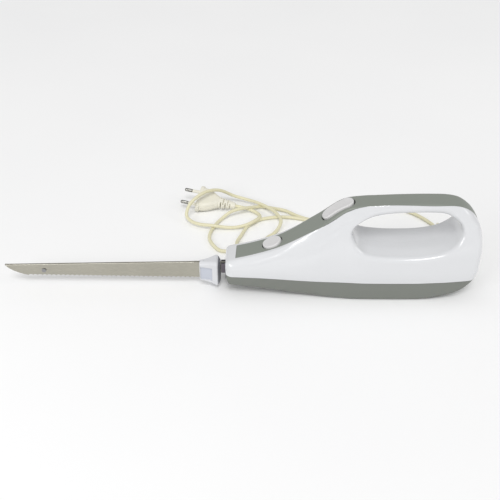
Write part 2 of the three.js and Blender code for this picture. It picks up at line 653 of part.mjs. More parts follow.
function bracket(x0, x1, bore) {
  const plate = box(x0, x1, -17, 17, 9.2, 43).subtract(box(x0 - 1, x1 + 1, 9.4, 20, 34, 60))
    .subtract(box(x0 - 1, x1 + 1, -20, -9.4, 34, 60));
  return plate.subtract(cylX(x0 - 1, x1 + 1, 0, SHAFT_Z, bore, 24));
}

const frontBracket = bracket(88.6, 93.4, 6.3);
const rearBracket = bracket(163.6, 168.4, 6.3);
const frontBearing = ringX(88, 94, 2.1, 6);
const rearBearing = ringX(163, 169, 2.1, 6);

function brush(sign) {
  const block = box(136.6, 141.4, 6.3, 16, SHAFT_Z - 1.9, SHAFT_Z + 1.9);
  return sign > 0 ? block : block.mirror([0, 1, 0]);
}

function brushHolder(sign) {
  const sleeve = box(135, 143, 9, 22, SHAFT_Z - 3.6, SHAFT_Z + 3.6)
    .subtract(box(136.3, 141.7, 8, 21, SHAFT_Z - 2.2, SHAFT_Z + 2.2));
  return sign > 0 ? sleeve : sleeve.mirror([0, 1, 0]);
}

// ---- Wiring parts, cord and plug ---------------------------------------------

function terminalShape() {
  let block = box(186.4, 199.6, -11.6, 11.6, 8.7, 19.5);
  [-6.4, 0, 6.4].forEach((y) => {
    block = block.subtract(cylX(180, 205, y, 14, 1.6, 12)).subtract(cylZ(189.6, y, 13, 25, 1.5, 12));
  });
  return block;
}

const capacitor = box(184, 203, -17, -3, 23.8, 40);
const cordClamp = box(204.4, 220.6, 6, 15.6, 24.4, 37.6)
  .subtract(cylY(EXIT_X, 0, 20, EXIT_Z, 2.9, 20));

function reliefShape() {
  const profile = [
    [2.9, 0], [5.6, 0], [5.6, 2], [4.2, 2], [4.2, 6.7], [6.4, 6.7], [6.4, 8.6], [5.2, 9.8],
    [4.9, 15], [4.5, 21], [4.1, 28], [3.7, 35], [2.9, 35], [2.9, 0],
  ].map(([r, y]) => new THREE.Vector2(r, y));
  return solid(new THREE.LatheGeometry(profile, 20), move(EXIT_X, 21.3, EXIT_Z));
}

const cordSection = new THREE.Shape();
cordSection.absarc(0, 0, CORD_R, 0, 2 * Math.PI, false);
const cordPath = new THREE.CatmullRomCurve3(CORD_ROUTE.map((p) => new THREE.Vector3(...p)));
const powerCord = new THREE.ExtrudeGeometry(cordSection, {
  steps: 130, extrudePath: cordPath, bevelEnabled: false, curveSegments: 4,
});

// Plug frame: +X along the pins, Y across the flat body.
const plugAxis = new THREE.Vector3(
  -Math.cos(rad(PLUG.yaw)) * Math.cos(rad(PLUG.pitch)),
  Math.sin(rad(PLUG.yaw)) * Math.cos(rad(PLUG.pitch)),
  Math.sin(rad(PLUG.pitch)),
);
const plugSide = new THREE.Vector3(0, 0, 1).cross(plugAxis).normalize().negate();
plugSide.applyAxisAngle(plugAxis, rad(-PLUG.tilt));
const plugUp = new THREE.Vector3().crossVectors(plugAxis, plugSide);
const plugFrame = new THREE.Matrix4().makeBasis(plugAxis, plugSide, plugUp).setPosition(...PLUG.face);

function plugRing(s, wide, thick) {
  const ring = [];
  for (let i = 0; i < 20; i += 1) {
    const a = (i / 20) * 2 * Math.PI;
    const bend = (v) => Math.sign(v) * Math.abs(v) ** 0.62;
    ring.push(new THREE.Vector3(s, wide * bend(Math.cos(a)), thick * bend(Math.sin(a))).applyMatrix4(plugFrame));
  }
  return ring;
}

const plugBody = loft([
  [-42, 3.4, 3.4], [-41, 4, 4], [-28, 5.4, 4.8], [-24, 7.4, 5.4], [-19, 11, 6], [-12, 14.4, 6.3],
  [-5, 15.8, 6.5], [-4, 17.6, 6.8], [-0.6, 17.6, 6.8], [0, 17, 6.2],
].map(([s, wide, thick]) => plugRing(s, wide, thick)))
  .subtract(solid(
    new THREE.CylinderGeometry(CORD_R + GAP, CORD_R + GAP, 26, 16),
    plugFrame.clone().multiply(move(-41, 0, 0)).multiply(new THREE.Matrix4().makeRotationZ(Math.PI / 2)),
  ));

function pinPart(side, from, to, r) {
  const turn = new THREE.Matrix4().makeRotationZ(Math.PI / 2);
  const shape = new THREE.CylinderGeometry(r, r, to - from, 16);
  const place = move((from + to) / 2, (side * PIN_PITCH) / 2, 0).multiply(turn);
  return solid(shape, plugFrame.clone().multiply(place));
}

const pinPocket = (side) => pinPart(side, -10, 2, PIN_R + GAP);
const plugWithPockets = plugBody.subtract(pinPocket(-1)).subtract(pinPocket(1));

function plugPin(side) {
  return union(
    pinPart(side, -9, PIN_LENGTH - 9, PIN_R - 0.4),
    pinPart(side, PIN_LENGTH - 9, PIN_LENGTH, PIN_R),
  );
}

function pinSleeve(side) {
  const tube = pinPart(side, 0.4, PIN_LENGTH - 9.4, PIN_R);
  return tube.subtract(pinPart(side, -2, PIN_LENGTH, PIN_R - 0.4 + 0.15));
}

// ---- Assembly ----------------------------------------------------------------

const model = new THREE.Group();

function add(name, part, color, metalness, roughness) {
  let geometry = part;
  if (!part.isBufferGeometry) {
    const mesh = part.getMesh();
    geometry = new THREE.BufferGeometry();
    geometry.setAttribute('position', new THREE.BufferAttribute(mesh.vertProperties, 3));
    geometry.setIndex(new THREE.BufferAttribute(mesh.triVerts, 1));
    geometry = geometry.toNonIndexed();
    geometry.computeVertexNormals();
  }
  const material = new THREE.MeshStandardMaterial({ color, metalness, roughness });
  const mesh = new THREE.Mesh(geometry, material);
  mesh.name = name;
  model.add(mesh);
}

const WHITE = 0xe9ebee;
const STEEL = 0xa39c92;
add('left_housing', leftHousing, WHITE, 0, 0.3);
add('right_housing', rightHousing, WHITE, 0, 0.3);
add('base_cover', trayShape(), 0x7d7f7a, 0, 0.5);
add('top_trim', topTrim, 0x828980, 0, 0.5);
add('switch_button', switchButton, 0xe2e2e2, 0, 0.5);
add('release_button', releaseButton, 0xe2e2e2, 0, 0.5);
add('nose_bezel', noseBezel, 0x3a3a3c, 0, 0.6);
add('left_blade', blade(-1), STEEL, 1, 0.35);
add('right_blade', blade(1), STEEL, 1, 0.35);
add('blade_rivet', bladeRivet, 0x8c8780, 1, 0.4);
add('left_guard', guard(-1), WHITE, 0, 0.3);
add('right_guard', guard(1), WHITE, 0, 0.3);
add('left_slider', slider(-1), 0x36343a, 0, 0.6);
add('right_slider', slider(1), 0x36343a, 0, 0.6);
add('slider_guide', sliderGuide, 0xd8d6cc, 0, 0.6);
add('release_yoke', releaseYoke, 0xc4c2b8, 0, 0.6);
add('release_spring', releaseSpring, 0xa8a8a8, 1, 0.4);
add('worm_wheel', wormWheel, 0xe6dfc8, 0, 0.5);
add('wheel_axle', wheelAxle, 0x9a9a9a, 1, 0.3);
add('worm', worm, 0x8f8b80, 1, 0.4);
add('motor_shaft', motorShaft, 0x9a9a9a, 1, 0.3);
add('armature_core', armatureCore, 0x5a5a5e, 1, 0.5);
add('winding_front', windingFront, 0xb06a35, 0.6, 0.4);
add('winding_rear', windingRear, 0xb06a35, 0.6, 0.4);
add('commutator', commutator, 0xb87a48, 1, 0.4);
add('fan', fanShape(), 0x2c2c30, 0, 0.5);
add('stator_core', statorShape(), 0x6a6a6e, 1, 0.5);
add('coil_left', coil(-1), 0xb06a35, 0.6, 0.4);
add('coil_right', coil(1), 0xb06a35, 0.6, 0.4);
add('front_bracket', frontBracket, 0xb0b2b4, 1, 0.5);
add('rear_bracket', rearBracket, 0xb0b2b4, 1, 0.5);
add('front_bearing', frontBearing, 0xa88a4c, 1, 0.4);
add('rear_bearing', rearBearing, 0xa88a4c, 1, 0.4);
add('brush_left', brush(-1), 0x2a2a2a, 0, 0.8);
add('brush_right', brush(1), 0x2a2a2a, 0, 0.8);
add('brush_holder_left', brushHolder(-1), 0xb89a54, 1, 0.4);
add('brush_holder_right', brushHolder(1), 0xb89a54, 1, 0.4);
add('micro_switch', microSwitch, 0x2a2a2c, 0, 0.6);
add('switch_plunger', switchPlunger, 0xb02a20, 0, 0.5);
add('terminal_block', terminalShape(), 0xe0dccb, 0, 0.5);
add('suppression_capacitor', capacitor, 0xc9a54a, 0, 0.4);
add('cord_clamp', cordClamp, 0xd6d4cb, 0, 0.6);
add('strain_relief', reliefShape(), 0xddd6b4, 0, 0.6);
add('power_cord', powerCord, 0xe1dab2, 0, 0.5);
add('plug_body', plugWithPockets, 0xe6e0c8, 0, 0.5);
add('plug_pin_near', plugPin(-1), 0x9b9a96, 1, 0.35);
add('plug_pin_far', plugPin(1), 0x9b9a96, 1, 0.35);
add('pin_sleeve_near', pinSleeve(-1), 0xe6e0c8, 0, 0.5);
add('pin_sleeve_far', pinSleeve(1), 0xe6e0c8, 0, 0.5);
SHELL_SCREWS.forEach((spot, i) => add(`shell_screw_${i + 1}`, shellScrew(spot), 0x8a8a8c, 1, 0.4));
TRAY_SCREWS.forEach((spot, i) => add(`tray_screw_${i + 1}`, trayScrew(spot), 0x8a8a8c, 1, 0.4));

export default model;
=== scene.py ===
"""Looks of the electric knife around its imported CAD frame. Blender works in metres; the shape
functions below work in millimetres, in the frame of the CAD, and meshes are scaled as they are made."""
import json
import math

import bpy
import numpy as np
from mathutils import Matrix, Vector


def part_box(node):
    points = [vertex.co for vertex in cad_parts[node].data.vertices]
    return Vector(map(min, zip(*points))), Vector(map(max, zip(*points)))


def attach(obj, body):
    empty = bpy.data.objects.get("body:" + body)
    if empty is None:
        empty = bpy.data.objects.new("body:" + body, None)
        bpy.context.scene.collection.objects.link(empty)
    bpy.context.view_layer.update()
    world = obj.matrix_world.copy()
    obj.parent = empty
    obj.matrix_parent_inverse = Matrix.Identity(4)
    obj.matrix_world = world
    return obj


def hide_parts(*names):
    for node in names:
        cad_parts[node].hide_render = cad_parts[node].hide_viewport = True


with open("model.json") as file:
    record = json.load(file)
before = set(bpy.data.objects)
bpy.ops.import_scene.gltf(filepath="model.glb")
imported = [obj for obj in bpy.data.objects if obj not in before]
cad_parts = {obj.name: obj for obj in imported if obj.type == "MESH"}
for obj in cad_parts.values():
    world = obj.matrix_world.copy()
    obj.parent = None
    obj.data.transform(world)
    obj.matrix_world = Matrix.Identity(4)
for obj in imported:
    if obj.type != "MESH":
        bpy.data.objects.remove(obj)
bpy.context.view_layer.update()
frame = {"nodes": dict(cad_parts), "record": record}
NODES = frame["nodes"]
MM = 0.001


def place(name, data):
    """A new object in the scene for a mesh, curve, camera or light."""
    made = bpy.data.objects.new(name, data)
    bpy.context.scene.collection.objects.link(made)
    return made


def node_centre(node):
    """Middle of a CAD node's box, in millimetres."""
    low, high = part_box(node)
    return np.round((np.array(low) + np.array(high)) / 2 / MM, 3)



# ---- Camera ------------------------------------------------------------------

TARGET = np.array([9.4, 0.0, 42.8])
ELEVATION = math.radians(35)
DISTANCE = 750.0
camera_data = bpy.data.cameras.new("camera")
camera_data.lens = 54
camera_data.sensor_width = 36
camera_data.clip_start = 0.05
camera = place("camera", camera_data)
camera.location = [
    TARGET[0] * MM,
    (TARGET[1] - DISTANCE * math.cos(ELEVATION)) * MM,
    (TARGET[2] + DISTANCE * math.sin(ELEVATION)) * MM,
]
camera.rotation_euler = (math.pi / 2 - ELEVATION, 0, 0)
bpy.context.scene.camera = camera


# ---- Materials ---------------------------------------------------------------

class Look:
    """A procedural material: a Principled shader and the nodes that feed it."""

    def __init__(self, name, color, roughness, metallic=0.0, coat=0.0):
        self.mat = bpy.data.materials.new(name)
        self.mat.use_nodes = True
        self.tree = self.mat.node_tree
        self.shader = self.tree.nodes["Principled BSDF"]
        self.color = color
        self.shader.inputs["Base Color"].default_value = (*color, 1)
        self.shader.inputs["Roughness"].default_value = roughness
        self.shader.inputs["Metallic"].default_value = metallic
        self.shader.inputs["Coat Weight"].default_value = coat
        self.shader.inputs["Coat Roughness"].default_value = 0.08
        self.coords = self.node("ShaderNodeTexCoord").outputs["Object"]

    def node(self, kind, **settings):
        made = self.tree.nodes.new(kind)
        for key, value in settings.items():
            setattr(made, key, value)
        return made

    def link(self, a, b):
        self.tree.links.new(a, b)

    def noise(self, scale, detail, stretch=(1, 1, 1)):
        mapping = self.node("ShaderNodeMapping")
        mapping.inputs["Scale"].default_value = stretch
        self.link(self.coords, mapping.inputs["Vector"])
        noise = self.node("ShaderNodeTexNoise")
        noise.inputs["Scale"].default_value = scale
        noise.inputs["Detail"].default_value = detail
        noise.inputs["Roughness"].default_value = 0.55
        self.link(mapping.outputs["Vector"], noise.inputs["Vector"])
        return noise.outputs["Fac"]

    def ramp(self, value, low, high, out_low, out_high):
        mapped = self.node("ShaderNodeMapRange")
        mapped.inputs["From Min"].default_value = low
        mapped.inputs["From Max"].default_value = high
        mapped.inputs["To Min"].default_value = out_low
        mapped.inputs["To Max"].default_value = out_high
        self.link(value, mapped.inputs["Value"])
        return mapped.outputs["Result"]

    def tint(self, value, other, amount):
        """Base colour drifts from its own colour towards another by up to amount."""
        mix = self.node("ShaderNodeMix", data_type="RGBA")
        current = self.shader.inputs["Base Color"]
        if current.is_linked:
            self.link(current.links[0].from_socket, mix.inputs[6])
        else:
            mix.inputs[6].default_value = (*self.color, 1)
        mix.inputs[7].default_value = (*other, 1)
        self.link(self.ramp(value, 0.35, 0.65, 0, amount), mix.inputs[0])
        self.link(mix.outputs[2], current)

    def rough(self, value, low, high):
        self.link(self.ramp(value, 0.3, 0.7, low, high), self.shader.inputs["Roughness"])

    def bump(self, value, strength, distance):
        bump = self.node("ShaderNodeBump")
        bump.inputs["Strength"].default_value = strength
        bump.inputs["Distance"].default_value = distance
        self.link(value, bump.inputs["Height"])
        self.link(bump.outputs["Normal"], self.shader.inputs["Normal"])


def srgb(r, g, b):
    """Linear colour for a shader socket from a display colour of 0 to 255."""
    def one(v):
        v /= 255
        return v / 12.92 if v <= 0.04045 else ((v + 0.055) / 1.055) ** 2.4
    return one(r), one(g), one(b)


FINE_GRAIN, COARSE_GRAIN = 2600, 1500


def plastic(name, color, roughness, grain=0.0, coat=0.0, drift=0.06, grain_scale=FINE_GRAIN):
    """Moulded plastic: colour and gloss drift a little, with a moulded grain where it has one."""
    look = Look(name, color, roughness, coat=coat)
    darker = tuple(c * 0.8 for c in color)
    look.tint(look.noise(22, 3), darker, drift)
    look.rough(look.noise(60, 4), roughness * 0.94, roughness * 1.08)
    if grain:
        look.bump(look.noise(grain_scale, 2), grain, 0.00008)
    return look.mat


def metal(name, color, roughness, stretch=(1, 1, 1), scale=900, strength=0.12):
    """Worked metal, with its streaks drawn out along an axis by stretch."""
    look = Look(name, color, roughness, metallic=1.0)
    streaks = look.noise(scale, 3, stretch)
    look.tint(streaks, tuple(c * 0.62 for c in color), 0.35)
    look.tint(look.noise(30, 4), tuple(c * 0.75 for c in color), 0.3)
    look.rough(streaks, roughness * 0.75, roughness * 1.35)
    look.bump(streaks, strength, 0.00006)
    return look.mat


SHELL = plastic("shell_white", srgb(216, 217, 219), 0.17, coat=0.6, drift=0.04)
STRIP = plastic("strip_grey", srgb(134, 139, 131), 0.42, grain=0.25, drift=0.10)
TRAY = plastic("tray_grey", srgb(119, 122, 116), 0.45, grain=0.3, drift=0.12)
BUTTON = plastic("button_grained", srgb(214, 213, 213), 0.5, grain=0.8, grain_scale=COARSE_GRAIN)
GUARD = plastic("guard_white", srgb(212, 213, 216), 0.3, grain=0.1)
GUARD_PANEL = plastic("guard_panel", srgb(191, 195, 205), 0.3, grain=0.1)
# Painted shadow: a near-black ring under the gaps round the buttons, where there is only shade.
GAP_SHADOW = plastic("gap_painted_shadow", srgb(46, 47, 46), 0.7, grain=0.2)
# Painted shade: a darker grey for the guard's back faces, which turn away from the light.
GUARD_BACK_SHADE = plastic("guard_back_painted_shade", srgb(118, 119, 124), 0.5, grain=0.2)
DARK = plastic("dark_plastic", srgb(64, 60, 68), 0.45, grain=0.2)


def slider_plastic():
    """Violet grey plastic, black on the top of the slider's nose."""
    look = Look("tang_plastic", srgb(104, 97, 106), 0.42)
    height = look.node("ShaderNodeSeparateXYZ")
    look.link(look.coords, height.inputs["Vector"])
    look.tint(look.ramp(height.outputs["Z"], 0.02835, 0.0285, 0.3, 0.7), srgb(28, 27, 30), 1.0)
    look.bump(look.noise(FINE_GRAIN, 2), 0.2, 0.00008)
    return look.mat


TANG = slider_plastic()
NYLON = plastic("nylon", srgb(222, 218, 204), 0.5, grain=0.2)
RED = plastic("red_plastic", srgb(170, 40, 30), 0.4)
FILM = plastic("capacitor_film", srgb(196, 160, 70), 0.25)
CARBON = plastic("carbon", srgb(40, 40, 42), 0.7, grain=0.5)
CORD = plastic("cord_pvc", srgb(224, 219, 187), 0.42, grain=0.15, drift=0.12)
PLUG = plastic("plug_pvc", srgb(229, 226, 212), 0.45, grain=0.15, drift=0.1)
BLADE = metal("blade_steel", srgb(186, 183, 171), 0.34, stretch=(1, 1, 14), scale=260, strength=0.1)
STEEL = metal("plain_steel", srgb(160, 160, 162), 0.35)
STACK = metal("laminations", srgb(96, 96, 100), 0.5, stretch=(30, 1, 1), scale=120, strength=0.4)
COPPER = metal("winding_copper", srgb(184, 112, 60), 0.4, stretch=(20, 1, 1), scale=140, strength=0.5)
BRONZE = metal("bearing_bronze", srgb(170, 138, 78), 0.45)
PIN = metal("pin_nickel", srgb(158, 157, 152), 0.28)

SLOT_LOOK = {
    "white_shell": SHELL, "grey_trim": STRIP, "grey_tray": TRAY, "button_plastic": BUTTON,
    "dark_plastic": DARK, "blade_steel": BLADE, "plain_steel": STEEL, "lamination_steel": STACK,
    "copper_winding": COPPER, "bearing_bronze": BRONZE, "carbon": CARBON, "nylon": NYLON,
    "red_plastic": RED, "film_capacitor": FILM, "cord_pvc": CORD, "plug_pvc": PLUG, "pin_metal": PIN,
}
for part in frame["record"]["subparts"]:
    kept = NODES[part["node"]]
    look = TANG if part["node"].endswith("_slider") else SLOT_LOOK[part["material_slot"]]
    kept.data.materials.clear()
    kept.data.materials.append(look)


# ---- Cord --------------------------------------------------------------------

CORD_ROUTE = [
    (212.5, 30, 31), (212.5, 36, 31), (212.5, 56, 31), (214, 70, 27.4), (217.5, 84, 17),
    (220.5, 97, 5.3), (219, 109, 2.3), (211, 122, 2.3), (200, 134, 2.3), (186, 144, 2.3),
    (167, 149.5, 2.3), (143, 136, 2.3), (112, 110, 2.3), (72, 86, 2.3), (32, 72, 6.2),
    (0, 60, 6.2), (-14, 56, 2.4), (-23, 57, 2.3), (-31, 67, 2.3), (-36, 81, 2.3), (-35, 94, 2.3),
    (-30, 109, 2.3), (-23, 121, 3), (-12, 128, 8.1), (1, 133, 9.1), (14, 142, 5.3), (24, 148, 2.3),
    (38, 144, 2.3), (51, 139, 2.3), (64, 128, 2.3), (80, 119, 2.3), (104, 111, 6.2),
    (124, 107, 2.3), (137, 96, 2.3), (139, 82, 2.3), (128, 72, 3.8), (113, 78, 6.5),
    (100, 96, 6.2), (89, 110, 3), (72, 120, 2.3), (58, 124, 2.3), (44, 125, 2.3), (31, 123, 2.3),
    (17, 117, 2.3), (7, 106, 2.3), (0, 88, 2.3), (-5, 73, 2.3), (-3, 60, 5.6), (7, 52, 6.2),
    (18, 56, 6.4), (25, 70, 4.6), (29, 82, 2.6), (36, 90, 2.4), (42, 100, 3.8), (45, 111, 6.1),
    (41, 125, 6.4), (32, 138, 6.4), (18, 151, 6.1), (4, 159, 6.1), (-10, 162, 9.1), (-26, 156, 20),
    (-40, 145, 25.4), (-52, 135, 23.6), (-61, 127, 17), (-64, 120, 7.6), (-59, 113, 4.9),
    (-48, 105, 5.3), (-34, 101, 6.2), (-19, 101, 3.8), (-7, 102, 3), (5, 104, 5), (15, 111, 6.2),
    (21, 124, 3.8), (17, 134, 2.7), (7, 139.4, 4.6), (-1.4, 141.2, 5.9), (-7.2, 142.5, 6.6),
    (-18.9, 145, 7.8),
]
CORD_DIAMETER = 3.8


def centripetal(points, steps):
    """Catmull-Rom line through the points, eased by the square root of their distances."""
    pts = np.array(points, float)
    pts = np.vstack([2 * pts[0] - pts[1], pts, 2 * pts[-1] - pts[-2]])
    line = []
    for i in range(1, len(pts) - 2):
        p0, p1, p2, p3 = pts[i - 1: i + 3]
        t0 = 0.0
        t1 = t0 + math.sqrt(np.linalg.norm(p1 - p0))
        t2 = t1 + math.sqrt(np.linalg.norm(p2 - p1))
        t3 = t2 + math.sqrt(np.linalg.norm(p3 - p2))
        for t in np.linspace(t1, t2, steps, endpoint=False):
            a1 = (t1 - t) / (t1 - t0) * p0 + (t - t0) / (t1 - t0) * p1
            a2 = (t2 - t) / (t2 - t1) * p1 + (t - t1) / (t2 - t1) * p2
            a3 = (t3 - t) / (t3 - t2) * p2 + (t - t2) / (t3 - t2) * p3
            b1 = (t2 - t) / (t2 - t0) * a1 + (t - t0) / (t2 - t0) * a2
            b2 = (t3 - t) / (t3 - t1) * a2 + (t - t1) / (t3 - t1) * a3
            line.append((t2 - t) / (t2 - t1) * b1 + (t - t1) / (t2 - t1) * b2)
    line.append(pts[-2])
    return np.array(line)


def cord_curve(name, line, diameter, material):
    """A round curve along a line of points, with closed ends."""
    data = bpy.data.curves.new(name, "CURVE")
    data.dimensions = "3D"
    spline = data.splines.new("POLY")
    spline.points.add(len(line) - 1)
    for point, co in zip(spline.points, line):
        point.co = (*(co * MM), 1)
    data.bevel_depth = diameter / 2 * MM
    data.bevel_resolution = 5
    data.use_fill_caps = True
    data.materials.append(material)
    return place(name, data)


cord_line = centripetal(CORD_ROUTE, 8)
cord = cord_curve("flex_cord", cord_line, CORD_DIAMETER, CORD)
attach(cord, "housing")
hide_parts("power_cord")

# ---- Profiles ----------------------------------------------------------------
# (x, z) or (x, half width) points of the housing: the CAD's, with a few moved for the photographed shape.

TOP = [
    (-15.5, 38.6), (-4.6, 41), (14.7, 46), (41, 55.8), (59.7, 66.9), (74, 77), (81.4, 82.6),
    (95.5, 94), (102.5, 97.9), (110, 99.5), (120, 100.5), (142, 101.6), (164, 102.3), (186, 102.5),
    (197, 102.2), (206, 100.8), (213, 98.6), (219, 95), (224, 90.6), (227.4, 86), (230, 81),
    (233.5, 75.5), (235.2, 69), (236.8, 59), (238, 48), (239, 37),
]
BOTTOM = [
    (-15.5, 12.6), (-9, 11.6), (25, 7.8), (62, 3.2), (90, 0.8), (108, 0), (178, 0), (193, 2.2),
    (210, 6.8), (225, 11.8), (231, 15.6), (234, 18.6), (237, 23.5), (239, 31),
]
WIDTH = [
    (-15.5, 19.9), (-5, 20.4), (25, 22), (62, 25), (92, 26.8), (115, 27.6), (190, 27.8),
    (215, 27.2), (239, 25),
]
SHOULDER_WIDTH = [
    (-15.5, 19.4), (15, 19.8), (40, 19.2), (60, 17.8), (74, 16.8), (88, 15.2), (100, 13.8),
    (115, 13), (195, 13), (212, 13), (224, 14), (239, 16),
]
SHOULDER_Z = [
    (-15.5, 34.4), (-4.6, 35.3), (8, 37.2), (23.6, 42.4), (38.8, 48.8), (58.5, 58.8), (74, 70),
    (88, 82.6), (98, 91), (106, 93.6), (114, 95.2), (142, 96.8), (195, 97.4), (215, 96.4), (239, 93),
]
STRIP_WIDTH = [
    (-15.5, 11), (16, 10.8), (42, 10.8), (60, 11.8), (75, 13.2), (82, 13.6), (95, 13), (103, 12),
    (115, 10.8), (202, 10.7), (212, 9.8), (219, 8.2), (226, 6.8), (239, 6.2),
]
PARTING = [
    (-30, 23.6), (20, 22.8), (70, 21.5), (120, 20.7), (175, 20.7), (200, 21.6), (220, 23), (250, 24.2),
]
HOLE = [
    (107.4, 73.6), (109.6, 67.2), (115, 60.6), (124, 55.4), (142, 52.8), (165, 52.4), (185, 54.2),
    (198.5, 58), (206.4, 63.6), (211.6, 70.4), (213.2, 77.2), (210.4, 83.4), (204, 87.8), (193, 90.6),
    (172, 91.2), (148, 90.7), (131, 88.3), (118.5, 84.8), (110, 79.6),
]


def smooth_line(points, steps, closed=False):
    """Catmull-Rom line through the points."""
    pts = np.array(points, float)
    if closed:
        pts = np.vstack([pts[-1], pts, pts[:2]])
    else:
        pts = np.vstack([2 * pts[0] - pts[1], pts, 2 * pts[-1] - pts[-2]])
    out = []
    for i in range(1, len(pts) - 2):
        p0, p1, p2, p3 = pts[i - 1: i + 3]
        for t in np.arange(steps) / steps:
            out.append(0.5 * (2 * p1 + (p2 - p0) * t + (2 * p0 - 5 * p1 + 4 * p2 - p3) * t * t
                              + (3 * p1 - p0 - 3 * p2 + p3) * t ** 3))
    if not closed:
        out.append(pts[-2])
    return np.array(out)


def table(points):
    """Smooth function of x through the points."""
    line = np.array(points, float)
    xs = np.arange(line[0, 0], line[-1, 0] + 0.25, 0.5)
    slopes = np.gradient(line[:, 1], line[:, 0])
    i = np.clip(np.searchsorted(line[:, 0], xs, side="right") - 1, 0, len(line) - 2)
    h = line[i + 1, 0] - line[i, 0]
    t = np.clip((xs - line[i, 0]) / h, 0, 1)
    flat = line[i, 1] == line[i + 1, 1]
    ys = ((1 + 2 * t) * (1 - t) ** 2 * line[i, 1] + t * (1 - t) ** 2 * h * slopes[i]
          + t * t * (3 - 2 * t) * line[i + 1, 1] + t * t * (t - 1) * h * slopes[i + 1])
    ys = np.where(flat, line[i, 1], ys)
    return lambda x: np.interp(x, xs, ys)


top_z, bottom_z, side_w = table(TOP), table(BOTTOM), table(WIDTH)
shoulder_w, shoulder_z = table(SHOULDER_WIDTH), table(SHOULDER_Z)
strip_w = table(STRIP_WIDTH)


def part_z(x):
    """Height of the line between the white shell and the grey tray."""
    return np.interp(x, *np.array(PARTING).T)


def polygon_distance(px, pz, poly):
    """Signed distance to a closed polygon in X and Z, negative inside."""
    a, b = poly, np.roll(poly, -1, axis=0)
    best = np.full(px.size, 1e9)
    inside = np.zeros(px.size, bool)
    flat_x, flat_z = px.ravel(), pz.ravel()
    for (ax, az), (bx, bz) in zip(a, b):
        ex, ez = bx - ax, bz - az
        wx, wz = flat_x - ax, flat_z - az
        t = np.clip((wx * ex + wz * ez) / (ex * ex + ez * ez + 1e-12), 0, 1)
        best = np.minimum(best, (wx - t * ex) ** 2 + (wz - t * ez) ** 2)
        cross = (az > flat_z) != (bz > flat_z)
        if abs(ez) > 1e-12:
            inside ^= cross & (flat_x < ex * (flat_z - az) / ez + ax)
    signed = np.sqrt(best) * np.where(inside, -1, 1)
    return signed.reshape(px.shape)


class Field2:
    """Distances to a polygon on a fine grid in X and Z, read back by linear interpolation."""

    STEP = 0.5

    def __init__(self, poly, low, high):
        self.low = np.array(low, float)
        xs = np.arange(low[0], high[0] + self.STEP, self.STEP)
        zs = np.arange(low[1], high[1] + self.STEP, self.STEP)
        gx, gz = np.meshgrid(xs, zs, indexing="ij")
        self.grid = polygon_distance(gx, gz, poly)

    def __call__(self, x, z):
        u = (x - self.low[0]) / self.STEP
        v = (z - self.low[1]) / self.STEP
        i = np.clip(np.floor(u).astype(int), 0, self.grid.shape[0] - 2)
        j = np.clip(np.floor(v).astype(int), 0, self.grid.shape[1] - 2)
        a, b = u - i, v - j
        g = self.grid
        return (g[i, j] * (1 - a) * (1 - b) + g[i + 1, j] * a * (1 - b)
                + g[i, j + 1] * (1 - a) * b + g[i + 1, j + 1] * a * b)


def silhouette():
    """Outline of the housing in X and Z: top, rear end, underside and nose."""
    xs = np.concatenate([np.arange(-9.5, 200, 2.0), np.arange(200, 229, 1.0)])
    upper = np.column_stack([xs, top_z(xs)])
    tail = smooth_line([(229.6, 82), (232, 75.5), (233.5, 68), (234.6, 58), (235, 47), (234.8, 37),
                        (234.2, 30), (232.8, 24), (230.4, 19), (227, 15), (222, 11.2), (215, 8.4)], 6)
    under_x = np.concatenate([np.arange(214, 200, -1.0), np.arange(200, -8, -2.0)])
    under = np.column_stack([under_x, bottom_z(under_x)])
    front = [(-9.6, 11.9), (-11.6, 12.8), (-12.9, 14.4), (-13.8, 17), (-14.6, 21), (-15.2, 25), (-15.5, 30),
             (-15.5, 33.4), (-15.1, 35.8), (-14, 37.6), (-12.2, 39)]
    return np.vstack([upper, tail[1:], under, front])


SIDE_LOW, SIDE_HIGH = (-24, -6), (246, 108)
outline = Field2(silhouette(), SIDE_LOW, SIDE_HIGH)
DEEPEST_SHOULDER = 10.5
SHOULDER_FROM, SHOULDER_TO = -8, 212
station = np.arange(-16, 240, 1.0)
shoulder_depth = np.minimum(-outline(station, shoulder_z(station)), DEEPEST_SHOULDER)
shoulder_depth[station > SHOULDER_TO] = shoulder_depth[station == SHOULDER_TO]
shoulder_depth[station < SHOULDER_FROM] = shoulder_depth[station == SHOULDER_FROM]


def shoulder_d(x):
    """Depth of the shoulder crease under the silhouette."""
    return np.interp(x, station, shoulder_depth)


hole_edge = Field2(smooth_line(HOLE, 8, closed=True), SIDE_LOW, SIDE_HIGH)


def smax(a, b, r):
    """The larger of two distances, with the corner between them rounded to radius r."""
    u, v = np.maximum(a + r, 0), np.maximum(b + r, 0)
    return np.where((u > 0) & (v > 0), np.sqrt(u * u + v * v) - r, np.maximum(a, b))


def ease(v, low, high):
    """Smooth step from 0 at low to 1 at high."""
    t = np.clip((v - low) / (high - low), 0, 1)
    return t * t * (3 - 2 * t)


CROWN, CROWN_WIDTH = 0.2, 11


def side_face(x, ay, z):
    """The housing's side: widest below the waist, leaning in above it and tucked in under it."""
    wide, narrow, top = side_w(x), shoulder_w(x), shoulder_z(x)
    waist = np.minimum(52 + 6 * ease(x, 100, 125), bottom_z(x) + (top - bottom_z(x)) * 0.7)
    v = (z - waist) / (top - waist)
    lean = (v + np.sqrt(v * v + 0.03 + 0.17 * (1 - ease(x, 95, 125)))) / 2
    under = np.minimum(z - 34, 0)
    rear = ease(x, 60, 110)
    tuck = 0.003 * (1 - rear) * under ** 2 + (0.004 + 0.0035 * rear) * np.maximum(under, -12) ** 2
    return (ay - wide + (wide - narrow) * np.minimum(lean, 1.6) + tuck) * 0.96


